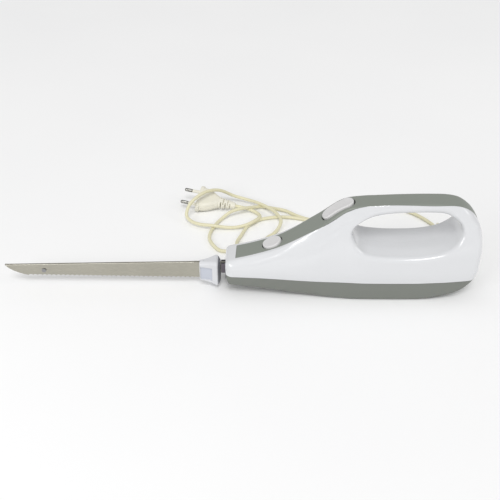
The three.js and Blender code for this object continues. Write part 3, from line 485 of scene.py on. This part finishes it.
def slant_face(x, ay, z, depth):
    """The face between the strip's border and the shoulder crease."""
    border = strip_w(x) + 0.85 + 2.4 * (1 - ease(x, 36, 72))
    rise, run = shoulder_d(x) - 0.5, shoulder_w(x) - border
    slant = ((ay - border) * rise + (depth + 0.5) * run) / np.hypot(rise, run)
    return slant - np.maximum(shoulder_z(x) - 7 - z, 0) ** 2 / 16


def body_field(x, y, z):
    """Distance to the whole housing, negative inside: top, slants and sides, less the grip hole."""
    ay = np.abs(y)
    depth = outline(x, z)
    crown = depth + CROWN * (ay / CROWN_WIDTH) ** 2 * ease(z, 24, 40)
    nose = 1.3 * ease(z, 27, 34) * ease(x, -10, 0) + 1.2 * (1 - ease(x, -12, -4)) * (1 - ease(z, 26, 36))
    radius = 3.2 - nose + 4.2 * ease(x, 210, 228)
    shell = smax(smax(crown, slant_face(x, ay, z, depth), 0.8), side_face(x, ay, z), radius)
    under_bar = ease(z, 70, 86) * ease(x, 108, 130) * (1 - ease(x, 196, 214))
    rim = 4.2 - 0.7 * (y > 0) * (1 - ease(z, 60, 80)) + 6 * under_bar
    near_flare = 1.6 * ease(-y, 8, 26) * (1 - ease(z, 60, 75))
    return smax(shell, -hole_edge(x, z + near_flare), rim)


def gradient(field, p, step=0.2):
    """Slope of a field at each point, by central differences."""
    g = np.empty_like(p)
    for k in range(3):
        e = np.zeros(3)
        e[k] = step
        g[:, k] = (field(*(p + e).T) - field(*(p - e).T)) / (2 * step)
    return g


def unit(v):
    return v / np.maximum(np.linalg.norm(v, axis=1, keepdims=True), 1e-9)


def surface(field, low, high, h):
    """Quads over a field's zero surface: one point per crossed cell, then pulled onto the surface.

    For each crossed cell the point is the mean of its edges' crossings. Each crossed grid edge gives one
    quad between the four cells round it.
    """
    axes = [np.arange(a, b + h, h) for a, b in zip(low, high)]
    values = field(*np.meshgrid(*axes, indexing="ij"))
    inside = values < 0
    n = np.array(values.shape) - 1
    count = np.zeros(n)
    total = np.zeros((*n, 3))
    corners = [(i, j, k) for i in (0, 1) for j in (0, 1) for k in (0, 1)]
    for a in corners:
        for axis in range(3):
            if a[axis]:
                continue
            b = tuple(c + (m == axis) for m, c in enumerate(a))
            sa = tuple(slice(c, c + m) for c, m in zip(a, n))
            sb = tuple(slice(c, c + m) for c, m in zip(b, n))
            va, vb = values[sa], values[sb]
            cross = inside[sa] != inside[sb]
            t = np.where(cross, va / np.where(cross, va - vb, 1), 0)
            for m in range(3):
                total[..., m] += np.where(cross, a[m] + (t if m == axis else 0), 0)
            count += cross
    active = count > 0
    index = np.full(n, -1)
    index[active] = np.arange(active.sum())
    cells = np.argwhere(active)
    points = (cells + total[active] / count[active][:, None]) * h + [a[0] for a in axes]
    quads = []
    for axis in range(3):
        u, v = [m for m in range(3) if m != axis]
        first = [slice(1, -1)] * 3
        second = [slice(1, -1)] * 3
        first[axis] = slice(0, -1)
        second[axis] = slice(1, None)
        ia, ib = inside[tuple(first)], inside[tuple(second)]
        base = np.argwhere(ia != ib)
        out = ia[tuple(base.T)]
        base[:, u] += 1
        base[:, v] += 1
        ring = []
        for du, dv in ((-1, -1), (0, -1), (0, 0), (-1, 0)):
            cell = base.copy()
            cell[:, u] += du
            cell[:, v] += dv
            ring.append(index[tuple(cell.T)])
        ring = np.array(ring).T
        flip = out if axis != 1 else ~out
        ring[~flip] = ring[~flip][:, ::-1]
        quads.append(ring)
    quads = np.vstack(quads)
    for _ in range(3):
        g = gradient(field, points)
        f = field(*points.T)
        step = f[:, None] * g / np.maximum((g * g).sum(1), 0.05)[:, None]
        points -= np.clip(step, -h * 0.6, h * 0.6)
    return points, quads


def triangles(quads):
    return np.vstack([quads[:, [0, 1, 2]], quads[:, [0, 2, 3]]])


def clip(points, tris, cut, reach=0.28):
    """The part of a mesh where cut(x, y, z) is below zero, with its edge exactly on the line."""
    points = points.copy()
    g = cut(*points.T)
    near = np.abs(g) < reach
    if near.any():
        held = points[near]
        normal = unit(gradient(body_field, held, 0.3))
        slope = gradient(cut, held, 0.05)
        slope -= normal * (slope * normal).sum(1)[:, None]
        size = (slope * slope).sum(1)
        ok = size > 0.2
        held[ok] -= (g[near][:, None] * slope / np.maximum(size, 0.2)[:, None])[ok]
        points[near] = held
        settled = g[near]
        settled[ok] = 0
        g[near] = settled
    g = np.where(np.abs(g) < 1e-6, 0, g)
    some_inside = (g[tris] < 0).any(1)
    mixed = some_inside & (g[tris] > 0).any(1)
    out = [tris[some_inside & ~mixed]]
    extra, seen = [], {}

    def crossing(a, b):
        key = (a, b) if a < b else (b, a)
        if key not in seen:
            t = g[key[0]] / (g[key[0]] - g[key[1]])
            seen[key] = len(points) + len(extra)
            extra.append(points[key[0]] * (1 - t) + points[key[1]] * t)
        return seen[key]

    more = []
    for tri in tris[mixed]:
        shape = []
        for k in range(3):
            a, b = int(tri[k]), int(tri[(k + 1) % 3])
            if g[a] <= 0:
                shape.append(a)
            if g[a] * g[b] < 0:
                shape.append(crossing(a, b))
        more.extend((shape[0], shape[k], shape[k + 1]) for k in range(1, len(shape) - 1))
    if more:
        out.append(np.array(more))
    if extra:
        points = np.vstack([points, extra])
    tris = np.vstack(out)
    used, back = np.unique(tris, return_inverse=True)
    return points[used], back.reshape(tris.shape)


def ring_faces(rings, around, wrap=False, flip=False):
    """Quads between rings of points, and from the last ring to the first where they wrap."""
    faces = []
    for r in range(rings if wrap else rings - 1):
        here, there = r * around, (r + 1) % rings * around
        for k in range(around):
            n = (k + 1) % around
            quad = (here + k, here + n, there + n, there + k)
            faces.append(quad[::-1] if flip else quad)
    return faces


def shell_from(points, tris, normals, thick):
    """A closed skin of the given thickness under an open surface."""
    count = len(points)
    edges = np.vstack([tris[:, [0, 1]], tris[:, [1, 2]], tris[:, [2, 0]]])
    key = edges[:, 0].astype(np.int64) * count + edges[:, 1]
    back = edges[:, 1].astype(np.int64) * count + edges[:, 0]
    rim = edges[~np.isin(key, back)]
    inner = points - normals * thick
    walls = np.vstack([
        np.column_stack([rim[:, 1], rim[:, 0], rim[:, 0] + count]),
        np.column_stack([rim[:, 1], rim[:, 0] + count, rim[:, 1] + count]),
    ])
    return np.vstack([points, inner]), np.vstack([tris, tris[:, ::-1] + count, walls])


def mesh_piece(name, points, faces, material, body, replaces=(), sharp=38):
    """A visible piece from points in millimetres, on its body, for the nodes it replaces."""
    data = bpy.data.meshes.new(name)
    data.from_pydata((np.asarray(points) * MM).tolist(), [], [list(map(int, f)) for f in faces])
    data.validate()
    data.materials.append(material)
    data.polygons.foreach_set("use_smooth", [True] * len(data.polygons))
    data.set_sharp_from_angle(angle=math.radians(sharp))
    made = place(name, data)
    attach(made, body)
    if replaces:
        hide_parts(*replaces)
    return made


# ---- Housing -----------------------------------------------------------------

GAP, STRIP_GAP, SEAM_GAP = 0.15, 0.07, 0.03
SKIN = 1.7
body_points, body_quads = surface(body_field, (-18, -30, -2), (241, 30, 103), 1.0)
body_tris = triangles(body_quads)

# Lengths along the top, so that the buttons follow its slope.
arc_x = np.arange(-16, 236, 0.5)
arc_s = np.concatenate([[0], np.cumsum(np.hypot(np.diff(arc_x), np.diff(top_z(arc_x))))])


def arc(x):
    """Length along the top at x."""
    return np.interp(x, arc_x, arc_s)


RELEASE = {"x": 31.5, "length": 19.5, "width": 16.5, "gap": 1.0}
SWITCH = {"x": 93.4, "length": 34.4, "width": 15.2, "gap": 1.4}
BETWEEN_BUTTONS = 62


def pill_distance(x, y, button):
    """Distance to a button's outline along the strip, negative inside the button."""
    u = np.abs(arc(x) - arc(button["x"]))
    half = button["width"] / 2
    straight = button["length"] / 2 - half
    return np.hypot(np.maximum(u - straight, 0), y) - half


STRIP_FRONT, STRIP_END_Z, BAR_UNDERSIDE = -4.6, 50.0, 88
PORT_HALF_WIDTH, PORT_HALF_HEIGHT, PORT_Z, PORT_X = 9.2, 9.3, 23.25, -9
INSIDE = -9.0
SHELL_SCREWS = [node_centre(f"shell_screw_{i}")[[0, 2]] for i in (1, 2, 3, 4, 5)]
TRAY_SCREWS = [node_centre(f"tray_screw_{i}")[:2] for i in (1, 2, 3, 4)]
EXIT_X, EXIT_Z = (float(v) for v in node_centre("strain_relief")[[0, 2]])
SHELL_WELL, TRAY_WELL, EXIT_HOLE = 3.3, 3.4, 4.6


# Each cut is a distance that is negative where its part is kept, or INSIDE where it has no say.


def strip_cut(x, y, z):
    """The strip's place: its width, its depth into the top, its front edge and its lower ends."""
    wide = np.abs(y) - strip_w(x)
    deep = -outline(x, z) - 2.5
    front = STRIP_FRONT + 0.05 * y - x
    low = np.select([x > 200, x >= 120], [STRIP_END_Z - z, BAR_UNDERSIDE - z], INSIDE)
    return np.maximum.reduce([wide, deep, front, low])


def off_strip(x, y, z):
    return STRIP_GAP - strip_cut(x, y, z)


def on_strip(x, y, z):
    return strip_cut(x, y, z) + STRIP_GAP


def off_port(x, y, z):
    across, up = np.abs(y) - PORT_HALF_WIDTH, np.abs(z - PORT_Z) - PORT_HALF_HEIGHT
    return -np.maximum.reduce([across, up, x - PORT_X])


def over_tray(x, y, z):
    return part_z(x) + GAP - z


def under_shell(x, y, z):
    return z - part_z(x) + GAP


def left_side(x, y, z):
    return y + SEAM_GAP


def right_side(x, y, z):
    return SEAM_GAP - y


def off_shell_holes(x, y, z):
    rounds = [SHELL_WELL - np.hypot(x - a, z - b) for a, b in SHELL_SCREWS]
    rounds.append(EXIT_HOLE - np.hypot(x - EXIT_X, z - EXIT_Z))
    return np.where(y > 0, np.maximum.reduce(rounds), INSIDE)


def off_tray_holes(x, y, z):
    rounds = [TRAY_WELL - np.hypot(x - a, y - b) for a, b in TRAY_SCREWS]
    return np.where(z < bottom_z(x) + 1.2, np.maximum.reduce(rounds), INSIDE)


def off_release(x, y, z):
    return np.where(x < BETWEEN_BUTTONS, RELEASE["gap"] - pill_distance(x, y, RELEASE), INSIDE)


def off_switch(x, y, z):
    return np.where(x > BETWEEN_BUTTONS, SWITCH["gap"] - pill_distance(x, y, SWITCH), INSIDE)


def make_part(name, cuts, material, replaces):
    """A skin of the housing, cut from the body's surface."""
    points, tris = body_points, body_tris
    for cut in cuts:
        points, tris = clip(points, tris, cut)
    normals = unit(gradient(body_field, points, 0.3))
    points, tris = shell_from(points, tris, normals, SKIN)
    return mesh_piece(name, points, tris, material, "housing", replaces)


make_part("shell_left", [over_tray, off_strip, off_port, left_side], SHELL, ["left_housing"])
make_part("shell_right", [over_tray, off_strip, off_port, right_side, off_shell_holes],
          SHELL, ["right_housing"])
make_part("tray", [under_shell, off_port, off_tray_holes], TRAY, ["base_cover"])
make_part("strip", [on_strip, off_release, off_switch], STRIP, ["top_trim"])

# ---- Buttons -----------------------------------------------------------------


PILL_POINTS = 72


def pill_ring(button, radius, reach, height, crown=0.0):
    """A pill-shaped ring of points that follows the top at a height above it.

    radius is that of its round ends, and reach the half length of its straight sides.
    """
    centre = arc(button["x"])
    points = []
    for k in range(PILL_POINTS):
        a = 2 * math.pi * k / PILL_POINTS
        u = radius * math.cos(a) + math.copysign(reach, math.cos(a)) * min(1, abs(math.cos(a)) * 12)
        y = radius * math.sin(a)
        x = float(np.interp(centre + u, arc_s, arc_x))
        slope = math.atan2(float(top_z(x + 0.6) - top_z(x - 0.6)), 1.2)
        z = float(top_z(x)) - crown * (y / CROWN_WIDTH) ** 2
        points.append((x - math.sin(slope) * height, y, z + math.cos(slope) * height))
    return points


def straight_half(button):
    return (button["length"] - button["width"]) / 2


def button_piece(name, button, rise, skirt, dish, body, replaces):
    """A domed pill that follows the strip, with a rounded shoulder and a skirt into its well."""
    rim = 0.89
    rings = [(1.0, -skirt), (1.0, rise * 0.35), (0.985, rise * 0.7), (0.95, rise * 0.92), (rim, rise)]
    rings += [(s, rise - dish * (1 - (s / rim) ** 2)) for s in (0.78, 0.66, 0.54, 0.42, 0.3, 0.18, 0.08)]
    points = []
    for scale, height in rings:
        reach = straight_half(button) * min(1, scale / 0.6)
        points += pill_ring(button, button["width"] / 2 * scale, reach, height, CROWN)
    faces = ring_faces(len(rings), PILL_POINTS)
    top, ring = len(points), (len(rings) - 1) * PILL_POINTS
    points.append(tuple(np.array(points[ring:]).mean(0)))
    faces += [(ring + k, ring + (k + 1) % PILL_POINTS, top) for k in range(PILL_POINTS)]
    faces.append(tuple(range(PILL_POINTS - 1, -1, -1)))
    return mesh_piece(name, points, faces, BUTTON, body, replaces, sharp=50)


def button_well(name, button):
    """Dark ring below the gap round a button, a painted shadow so that the gap reads as a shadow line."""
    points = []
    for grow, height in ((1.9, -1.9), (1.9, -2.9), (-0.3, -2.9), (-0.3, -1.9)):
        points += pill_ring(button, button["width"] / 2 + grow, straight_half(button), height)
    faces = ring_faces(4, PILL_POINTS, wrap=True, flip=True)
    return mesh_piece(name, points, faces, GAP_SHADOW, "housing", sharp=40)


button_piece("release_cap", RELEASE, 2.1, 3.4, 0.3, "release", ["release_button"])
button_piece("switch_cap", SWITCH, 1.9, 3.4, 0.5, "switch", ["switch_button"])
button_well("release_well", RELEASE)
button_well("switch_well", SWITCH)

# ---- Blades ------------------------------------------------------------------

BLADE_Y, BLADE_THICK = 0.15, 1.0
BLADE_OUTER = BLADE_Y + BLADE_THICK
BLADE_TIP, BLADE_HEEL = -239.0, -47.5
SCALLOPS, SCALLOP_START, SCALLOP_DEPTH = 36, -217.0, 1.25
SCALLOP_PITCH = (BLADE_HEEL - SCALLOP_START) / SCALLOPS
BLADE_NOSE = [
    (-239, 25), (-238.2, 23.2), (-235.6, 20.4), (-231.6, 17.6), (-226, 14.8), (-221, 13), (-217, 12),
]
BLADE_BACK = [(-239, 25.1), (-130, 27.2), (-42, 28.7)]


def blade_edge(x):
    """Height of the cutting edge without its scallops, and the depth of the scallop there."""
    nose = np.interp(x, *np.array(BLADE_NOSE).T)
    straight = 12 - 3.2 * (x - SCALLOP_START) / (BLADE_HEEL - SCALLOP_START)
    phase = ((x - SCALLOP_START) / SCALLOP_PITCH) % 1
    bow = SCALLOP_DEPTH * np.sqrt(np.maximum(1 - (2 * phase - 1) ** 2, 0))
    scallop = np.where((x > SCALLOP_START) & (x < BLADE_HEEL), bow, 0)
    return np.where(x < SCALLOP_START, nose, straight), scallop


def blade_piece(name, sign, body, replaces):
    """One blade: flat inside, ground outside towards a scalloped edge, lofted along its length."""
    xs = np.concatenate([
        BLADE_TIP + (SCALLOP_START - BLADE_TIP) * np.linspace(0, 1, 30) ** 1.8,
        SCALLOP_START + np.arange(1, SCALLOPS * 8 + 1) * SCALLOP_PITCH / 8,
    ])
    edge, scallop = blade_edge(xs)
    ridge = np.interp(xs, *np.array(BLADE_BACK).T)
    grind = np.minimum(edge + 6.4, ridge - (ridge - edge) * 0.25)
    foot = np.minimum(edge + scallop, ridge - 0.05)
    # Each scallop is ground a little deeper into the bevel.
    rows = [(foot, BLADE_Y + BLADE_THICK * (0.22 + 0.12 * scallop / SCALLOP_DEPTH))]
    for share, out in ((0.32, 0.56), (0.66, 0.82), (0.93, 1.0)):
        rows.append((foot + (grind - foot) * share, BLADE_Y + BLADE_THICK * out))
    rows += [
        (grind + 0.5, BLADE_OUTER), (ridge - 0.25, BLADE_OUTER), (ridge, BLADE_OUTER - 0.2),
        (ridge, BLADE_Y), (foot, BLADE_Y),
    ]
    count, stations = len(rows), len(xs)
    heights = np.array([np.minimum(z, ridge) for z, _ in rows]).T
    across = np.array([y * np.ones(stations) for _, y in rows]).T * sign
    points = np.stack([np.repeat(xs[:, None], count, 1), across, heights], axis=2).reshape(-1, 3)
    faces = ring_faces(stations, count, flip=sign < 0)
    tip = tuple(range(count))
    heel = tuple((stations - 1) * count + k for k in range(count))
    faces += [tip[::-1], heel] if sign > 0 else [tip, heel[::-1]]
    return mesh_piece(name, points, faces, BLADE, body, replaces, sharp=24)


def blade_plate(name, low, high, body):
    """A plain rectangular stretch of a blade between two corners."""
    points = [(x, y, z) for x in (low[0], high[0]) for y in (low[1], high[1]) for z in (low[2], high[2])]
    faces = [(0, 1, 3, 2), (4, 6, 7, 5), (0, 4, 5, 1), (2, 3, 7, 6), (0, 2, 6, 4), (1, 5, 7, 3)]
    return mesh_piece(name, points, faces, BLADE, body)


blade_piece("blade_left", -1, "left_knife", ["left_blade"])
blade_piece("blade_right", 1, "right_knife", ["right_blade"])
for sign, side in ((-1, "left"), (1, "right")):
    y0, y1 = sorted((sign * BLADE_Y, sign * BLADE_OUTER))
    blade_plate(f"blade_neck_{side}", (BLADE_HEEL, y0, 10.2), (-23.9, y1, 28.7), f"{side}_knife")
    blade_plate(f"blade_tang_{side}", (-24, y0, 17), (10, y1, 28.2), f"{side}_knife")

# ---- Guards ------------------------------------------------------------------

guard_side = table([
    (-43, 4.0), (-38, 4.9), (-33, 6.0), (-29, 7.4), (-26, 8.8), (-23.6, 9.3), (-22.9, 8.6), (-19.9, 4.4),
])
guard_top = table([
    (-43, 28.9), (-36, 30.1), (-31, 31.2), (-28, 31.9), (-24.5, 32.3), (-22.8, 31.4), (-19.9, 28.6),
])
guard_low = table([
    (-43, 8.4), (-36, 7.2), (-30, 6.2), (-26, 5.4), (-23.4, 5.0), (-22.6, 5.6), (-19.9, 9.4),
])
PANEL_X, PANEL_Z, PANEL_HALF_LENGTH, PANEL_HALF_HEIGHT = -34.9, 16.8, 6.0, 7.6
GUARD_BACK_X = -22.9


def guard_field(x, y, z):
    """The finger guard: flared towards the hand, with a sunk panel on each side and a slot for the blades."""
    ay = np.abs(y)
    side = (ay - guard_side(x)) * 0.8
    cap = (z - guard_top(x)) * 0.9
    floor = (guard_low(x) - z) * 0.85
    chamfer = (0.75 * ay + z - 0.75 * guard_side(x) - guard_top(x) + 1.8) * 0.76
    shape = smax(smax(side, cap, 0.4), floor, 1.2)
    shape = smax(shape, chamfer, 0.5)
    shape = smax(shape, -41.9 - x, 0.7)
    shape = smax(shape, x + 20.4, 0.5)
    panel = np.maximum(np.abs(x - PANEL_X) - PANEL_HALF_LENGTH, np.abs(z - PANEL_Z) - PANEL_HALF_HEIGHT)
    scoop = smax(panel, guard_side(x) - 1.0 - 0.09 * (x + 41) - ay, 0.3)
    shape = smax(shape, -scoop, 0.4)
    slot = np.maximum(ay - 1.45, np.maximum(z - 29, 9.9 - z))
    return np.maximum(shape, -slot)


guard_points, guard_quads = surface(guard_field, (-44, -11, 3), (-18, 11, 34), 0.45)
guard_tris = triangles(guard_quads)


def guard_half(name, sign, body, replaces):
    """One blade's half of the guard, with painted shade on its back faces and its panel as materials of their
    own.
    """
    points, tris = clip(guard_points, guard_tris, lambda x, y, z: GAP - sign * y, reach=0.12)
    made = mesh_piece(name, points, tris, GUARD, body, replaces)
    made.data.materials.append(GUARD_BACK_SHADE)
    made.data.materials.append(GUARD_PANEL)
    corners = points[tris]
    x, y, z = np.abs(corners.mean(1) - (PANEL_X, 0, PANEL_Z)).T
    facing = unit(np.cross(corners[:, 1] - corners[:, 0], corners[:, 2] - corners[:, 0]))
    # Painted shade: the back faces that turn along X, away from the light, take the darker material.
    back = (corners[:, :, 0].mean(1) > GUARD_BACK_X) & (np.abs(facing[:, 0]) > 0.5)
    panel = (x < PANEL_HALF_LENGTH - 0.2) & (z < PANEL_HALF_HEIGHT - 0.2) & (y > 2.5)
    made.data.polygons.foreach_set("material_index", np.where(back, 1, np.where(panel, 2, 0)).tolist())
    modifier = made.modifiers.new("skin", "SOLIDIFY")
    modifier.thickness = 0.0008
    modifier.offset = -1
    return made


guard_half("guard_left", -1, "left_knife", ["left_guard"])
guard_half("guard_right", 1, "right_knife", ["right_guard"])

# ---- Plug --------------------------------------------------------------------

PLUG_FACE = np.array([-52.0, 152.0, 11.4])
PLUG_YAW, PLUG_PITCH, PLUG_TILT = (math.radians(a) for a in (12, 6, 20))
plug_axis = np.array([
    -math.cos(PLUG_YAW) * math.cos(PLUG_PITCH),
    math.sin(PLUG_YAW) * math.cos(PLUG_PITCH),
    math.sin(PLUG_PITCH),
])
flat_side = -np.cross([0, 0, 1], plug_axis)
flat_side /= np.linalg.norm(flat_side)
plug_side = flat_side * math.cos(PLUG_TILT) - np.cross(plug_axis, flat_side) * math.sin(PLUG_TILT)
PLUG_BASIS = np.array([plug_axis, plug_side, np.cross(plug_axis, plug_side)])
PIN_APART = 18.6

plug_wide = table([
    (-47, 3.0), (-43, 4.2), (-36, 5.4), (-29, 6.6), (-24, 7.8), (-19, 10.8), (-12, 14.4), (-6, 15.8),
    (0, 15.9),
])
plug_thick = table([
    (-47, 2.7), (-43, 3.6), (-36, 4.4), (-29, 5.1), (-24, 5.5), (-19, 6), (-12, 6.3), (-6, 6.4), (0, 6.4),
])
SLITS, FIRST_SLIT, SLIT_PITCH = 5, -28.4, 2.7


def plug_field(s, w, t):
    """The moulded plug: s runs along it, 0 at the face of the pins; w is across it and t through it."""
    def pill(wide, thick):
        return np.hypot(np.maximum(np.abs(w) - (wide - thick), 0), t) - thick
    body = smax(pill(plug_wide(s), plug_thick(s)), np.maximum(-45.6 - s, s + 4.2), 0.6)
    flange = smax(pill(17.6, 6.8), np.maximum(-4.4 - s, s + 0.2), 0.7)
    groove = np.hypot(s + 25.6, np.hypot(w * 0.8, t) - 6) - 0.8
    shape = smax(np.minimum(body, flange), -groove, 0.3)
    for k in range(SLITS):
        for side in (-1, 1):
            angle = np.arctan2(w, t * side) if k % 2 else np.arctan2(t, w * side)
            ring = np.maximum(np.abs(s - FIRST_SLIT + SLIT_PITCH * k) - 0.65, np.abs(angle) - 1.05)
            slit = np.maximum(ring, 2.7 - np.hypot(w, t))
            shape = smax(shape, -slit, 0.15)
    return shape


plug_points, plug_quads = surface(plug_field, (-47.2, -19, -8), (1.2, 19, 8), 0.5)
plug = mesh_piece("plug_moulded", plug_points @ PLUG_BASIS + PLUG_FACE, plug_quads, PLUG,
                  "housing", ["plug_body"])


def lathe(name, profile, origin, axis, material, replaces, around=32):
    """A turned piece: (radius, distance along the axis) pairs swept about the axis."""
    axis = np.array(axis, float)
    side = np.cross(axis, [0.31, 0.17, 0.93])
    side /= np.linalg.norm(side)
    up = np.cross(axis, side)
    points = []
    for r, s in profile:
        for k in range(around):
            a = 2 * math.pi * k / around
            points.append(origin + axis * s + (side * math.cos(a) + up * math.sin(a)) * r)
    rows = len(profile)
    faces = ring_faces(rows, around)
    faces.append(tuple(range(around - 1, -1, -1)))
    faces.append(tuple((rows - 1) * around + k for k in range(around)))
    return mesh_piece(name, points, faces, material, "housing", replaces, sharp=35)


plug_pieces = [plug]
for sign, side in ((-1, "near"), (1, "far")):
    root = PLUG_FACE + plug_side * sign * PIN_APART / 2
    sleeve = lathe(f"pin_insulation_{side}", [(1.7, -0.6), (1.95, -0.4), (1.95, 9.2), (1.8, 9.6)],
                   root, plug_axis, PLUG, [f"pin_sleeve_{side}"])
    pin = lathe(f"pin_tip_{side}", [(1.6, 9.2), (2.0, 9.9), (2.0, 17.6), (1.75, 18.5), (1.2, 19)],
                root, plug_axis, PIN, [f"plug_pin_{side}"])
    plug_pieces += [sleeve, pin]

# ---- Strain relief -----------------------------------------------------------

RIBS, FIRST_RIB, RIB_PITCH = 8, 30.4, 3.1


def relief_profile():
    """A collar held by the shell, then ribs that get smaller towards the cord."""
    profile = [(5.4, 21.4), (5.6, 21.6), (5.6, 23.2), (4.2, 23.4), (4.2, 27.8)]
    profile += [(6.2, 27.9), (6.4, 28.2), (6.4, 29.4), (5.9, 29.9)]
    for k in range(RIBS):
        base, r = FIRST_RIB + RIB_PITCH * k, 5.3 - 0.19 * k
        profile += [(r, base), (r, base + 1.9), (r - 0.9, base + 2.1), (r - 0.9, base + 2.9)]
    return profile + [(3.6, 55.4), (3.4, 56), (2.5, 56.2)]


relief = lathe("strain_sleeve", relief_profile(), np.array([EXIT_X, 0, EXIT_Z]), (0, 1, 0),
               CORD, ["strain_relief"], around=40)

# ---- Screw wells -------------------------------------------------------------

WELL_WALL_RADIUS, WELL_POINTS = 4.2, 28
ALONG, ACROSS, UP = np.eye(3)


def tube(name, inner, start, end, sides, material, widest):
    """Wall of a screw well: an open tube from start to end, flattened where it is past the widest y."""
    points = []
    for r, p in ((WELL_WALL_RADIUS, start), (WELL_WALL_RADIUS, end), (inner, end), (inner, start)):
        for k in range(WELL_POINTS):
            a = 2 * math.pi * k / WELL_POINTS
            at = np.array(p) + (sides[0] * math.cos(a) + sides[1] * math.sin(a)) * r
            at[1] = min(max(at[1], -widest), widest)
            points.append(at)
    return mesh_piece(name, points, ring_faces(4, WELL_POINTS, wrap=True), material, "housing")


def skin_y(x, z):
    """Distance from the middle to the outside of the shell at a side point."""
    ys = np.arange(5, 30, 0.1)
    inside = body_field(np.full_like(ys, x), ys, np.full_like(ys, z)) < 0
    return float(ys[inside].max())


for i, (x, z) in enumerate(SHELL_SCREWS):
    reach = min(skin_y(x + dx, z + dz) for dx in (-4, 0, 4) for dz in (-3.4, 0, 3.4))
    tube(f"shell_well_{i + 1}", SHELL_WELL, (x, 11, z), (x, reach - 0.7, z), (UP, ALONG),
         SHELL, widest=99)
for i, (x, y) in enumerate(TRAY_SCREWS):
    front = x < 100
    mouth = float(bottom_z(x)) + (3.0 if front else 4.2)
    tube(f"tray_well_{i + 1}", TRAY_WELL, (x, y, 12), (x, y, mouth), (ALONG, -ACROSS),
         TRAY, widest=20.3 if front else 99)

# ---- Studio ------------------------------------------------------------------

floor_data = bpy.data.meshes.new("floor")
REACH = 4.0
corners = [(-REACH, -REACH, 0), (REACH, -REACH, 0), (REACH, REACH, 0), (-REACH, REACH, 0)]
floor_data.from_pydata(corners, [], [(0, 1, 2, 3)])
floor = place("floor", floor_data)
floor.location = (0, 0, -0.0002)
floor_look = Look("floor", (0.95, 0.95, 0.95), 0.8)
floor_look.tint(floor_look.noise(3, 2), (0.915, 0.915, 0.92), 0.4)
floor_data.materials.append(floor_look.mat)

world = bpy.data.worlds.new("studio")
bpy.context.scene.world = world
world.use_nodes = True
sky = world.node_tree.nodes["Background"]
sky.inputs["Color"].default_value = (1, 1, 1, 1)
sky.inputs["Strength"].default_value = 0.55


def aimed(light, direction):
    light.rotation_euler = Vector(direction).to_track_quat("-Z", "Y").to_euler()


def area(name, location, aim, size, energy):
    """A rectangular light pointed at a place."""
    data = bpy.data.lights.new(name, "AREA")
    data.shape = "RECTANGLE"
    data.size, data.size_y = size
    data.energy = energy
    made = place(name, data)
    made.location = location
    aimed(made, np.array(aim) - np.array(location))


area("left", (-0.72, -0.86, 0.62), (0.03, 0, 0.05), (0.6, 0.3), 3.4)
area("right", (1.2, -0.3, 0.8), (0.1, 0, 0.04), (0.5, 0.4), 1.6)
sun_data = bpy.data.lights.new("sun", "SUN")
sun_data.energy = 1.2
sun_data.angle = 0.42
aimed(place("sun", sun_data), (0.0, 0.54, -0.79))
bpy.context.scene.view_settings.view_transform = "Standard"
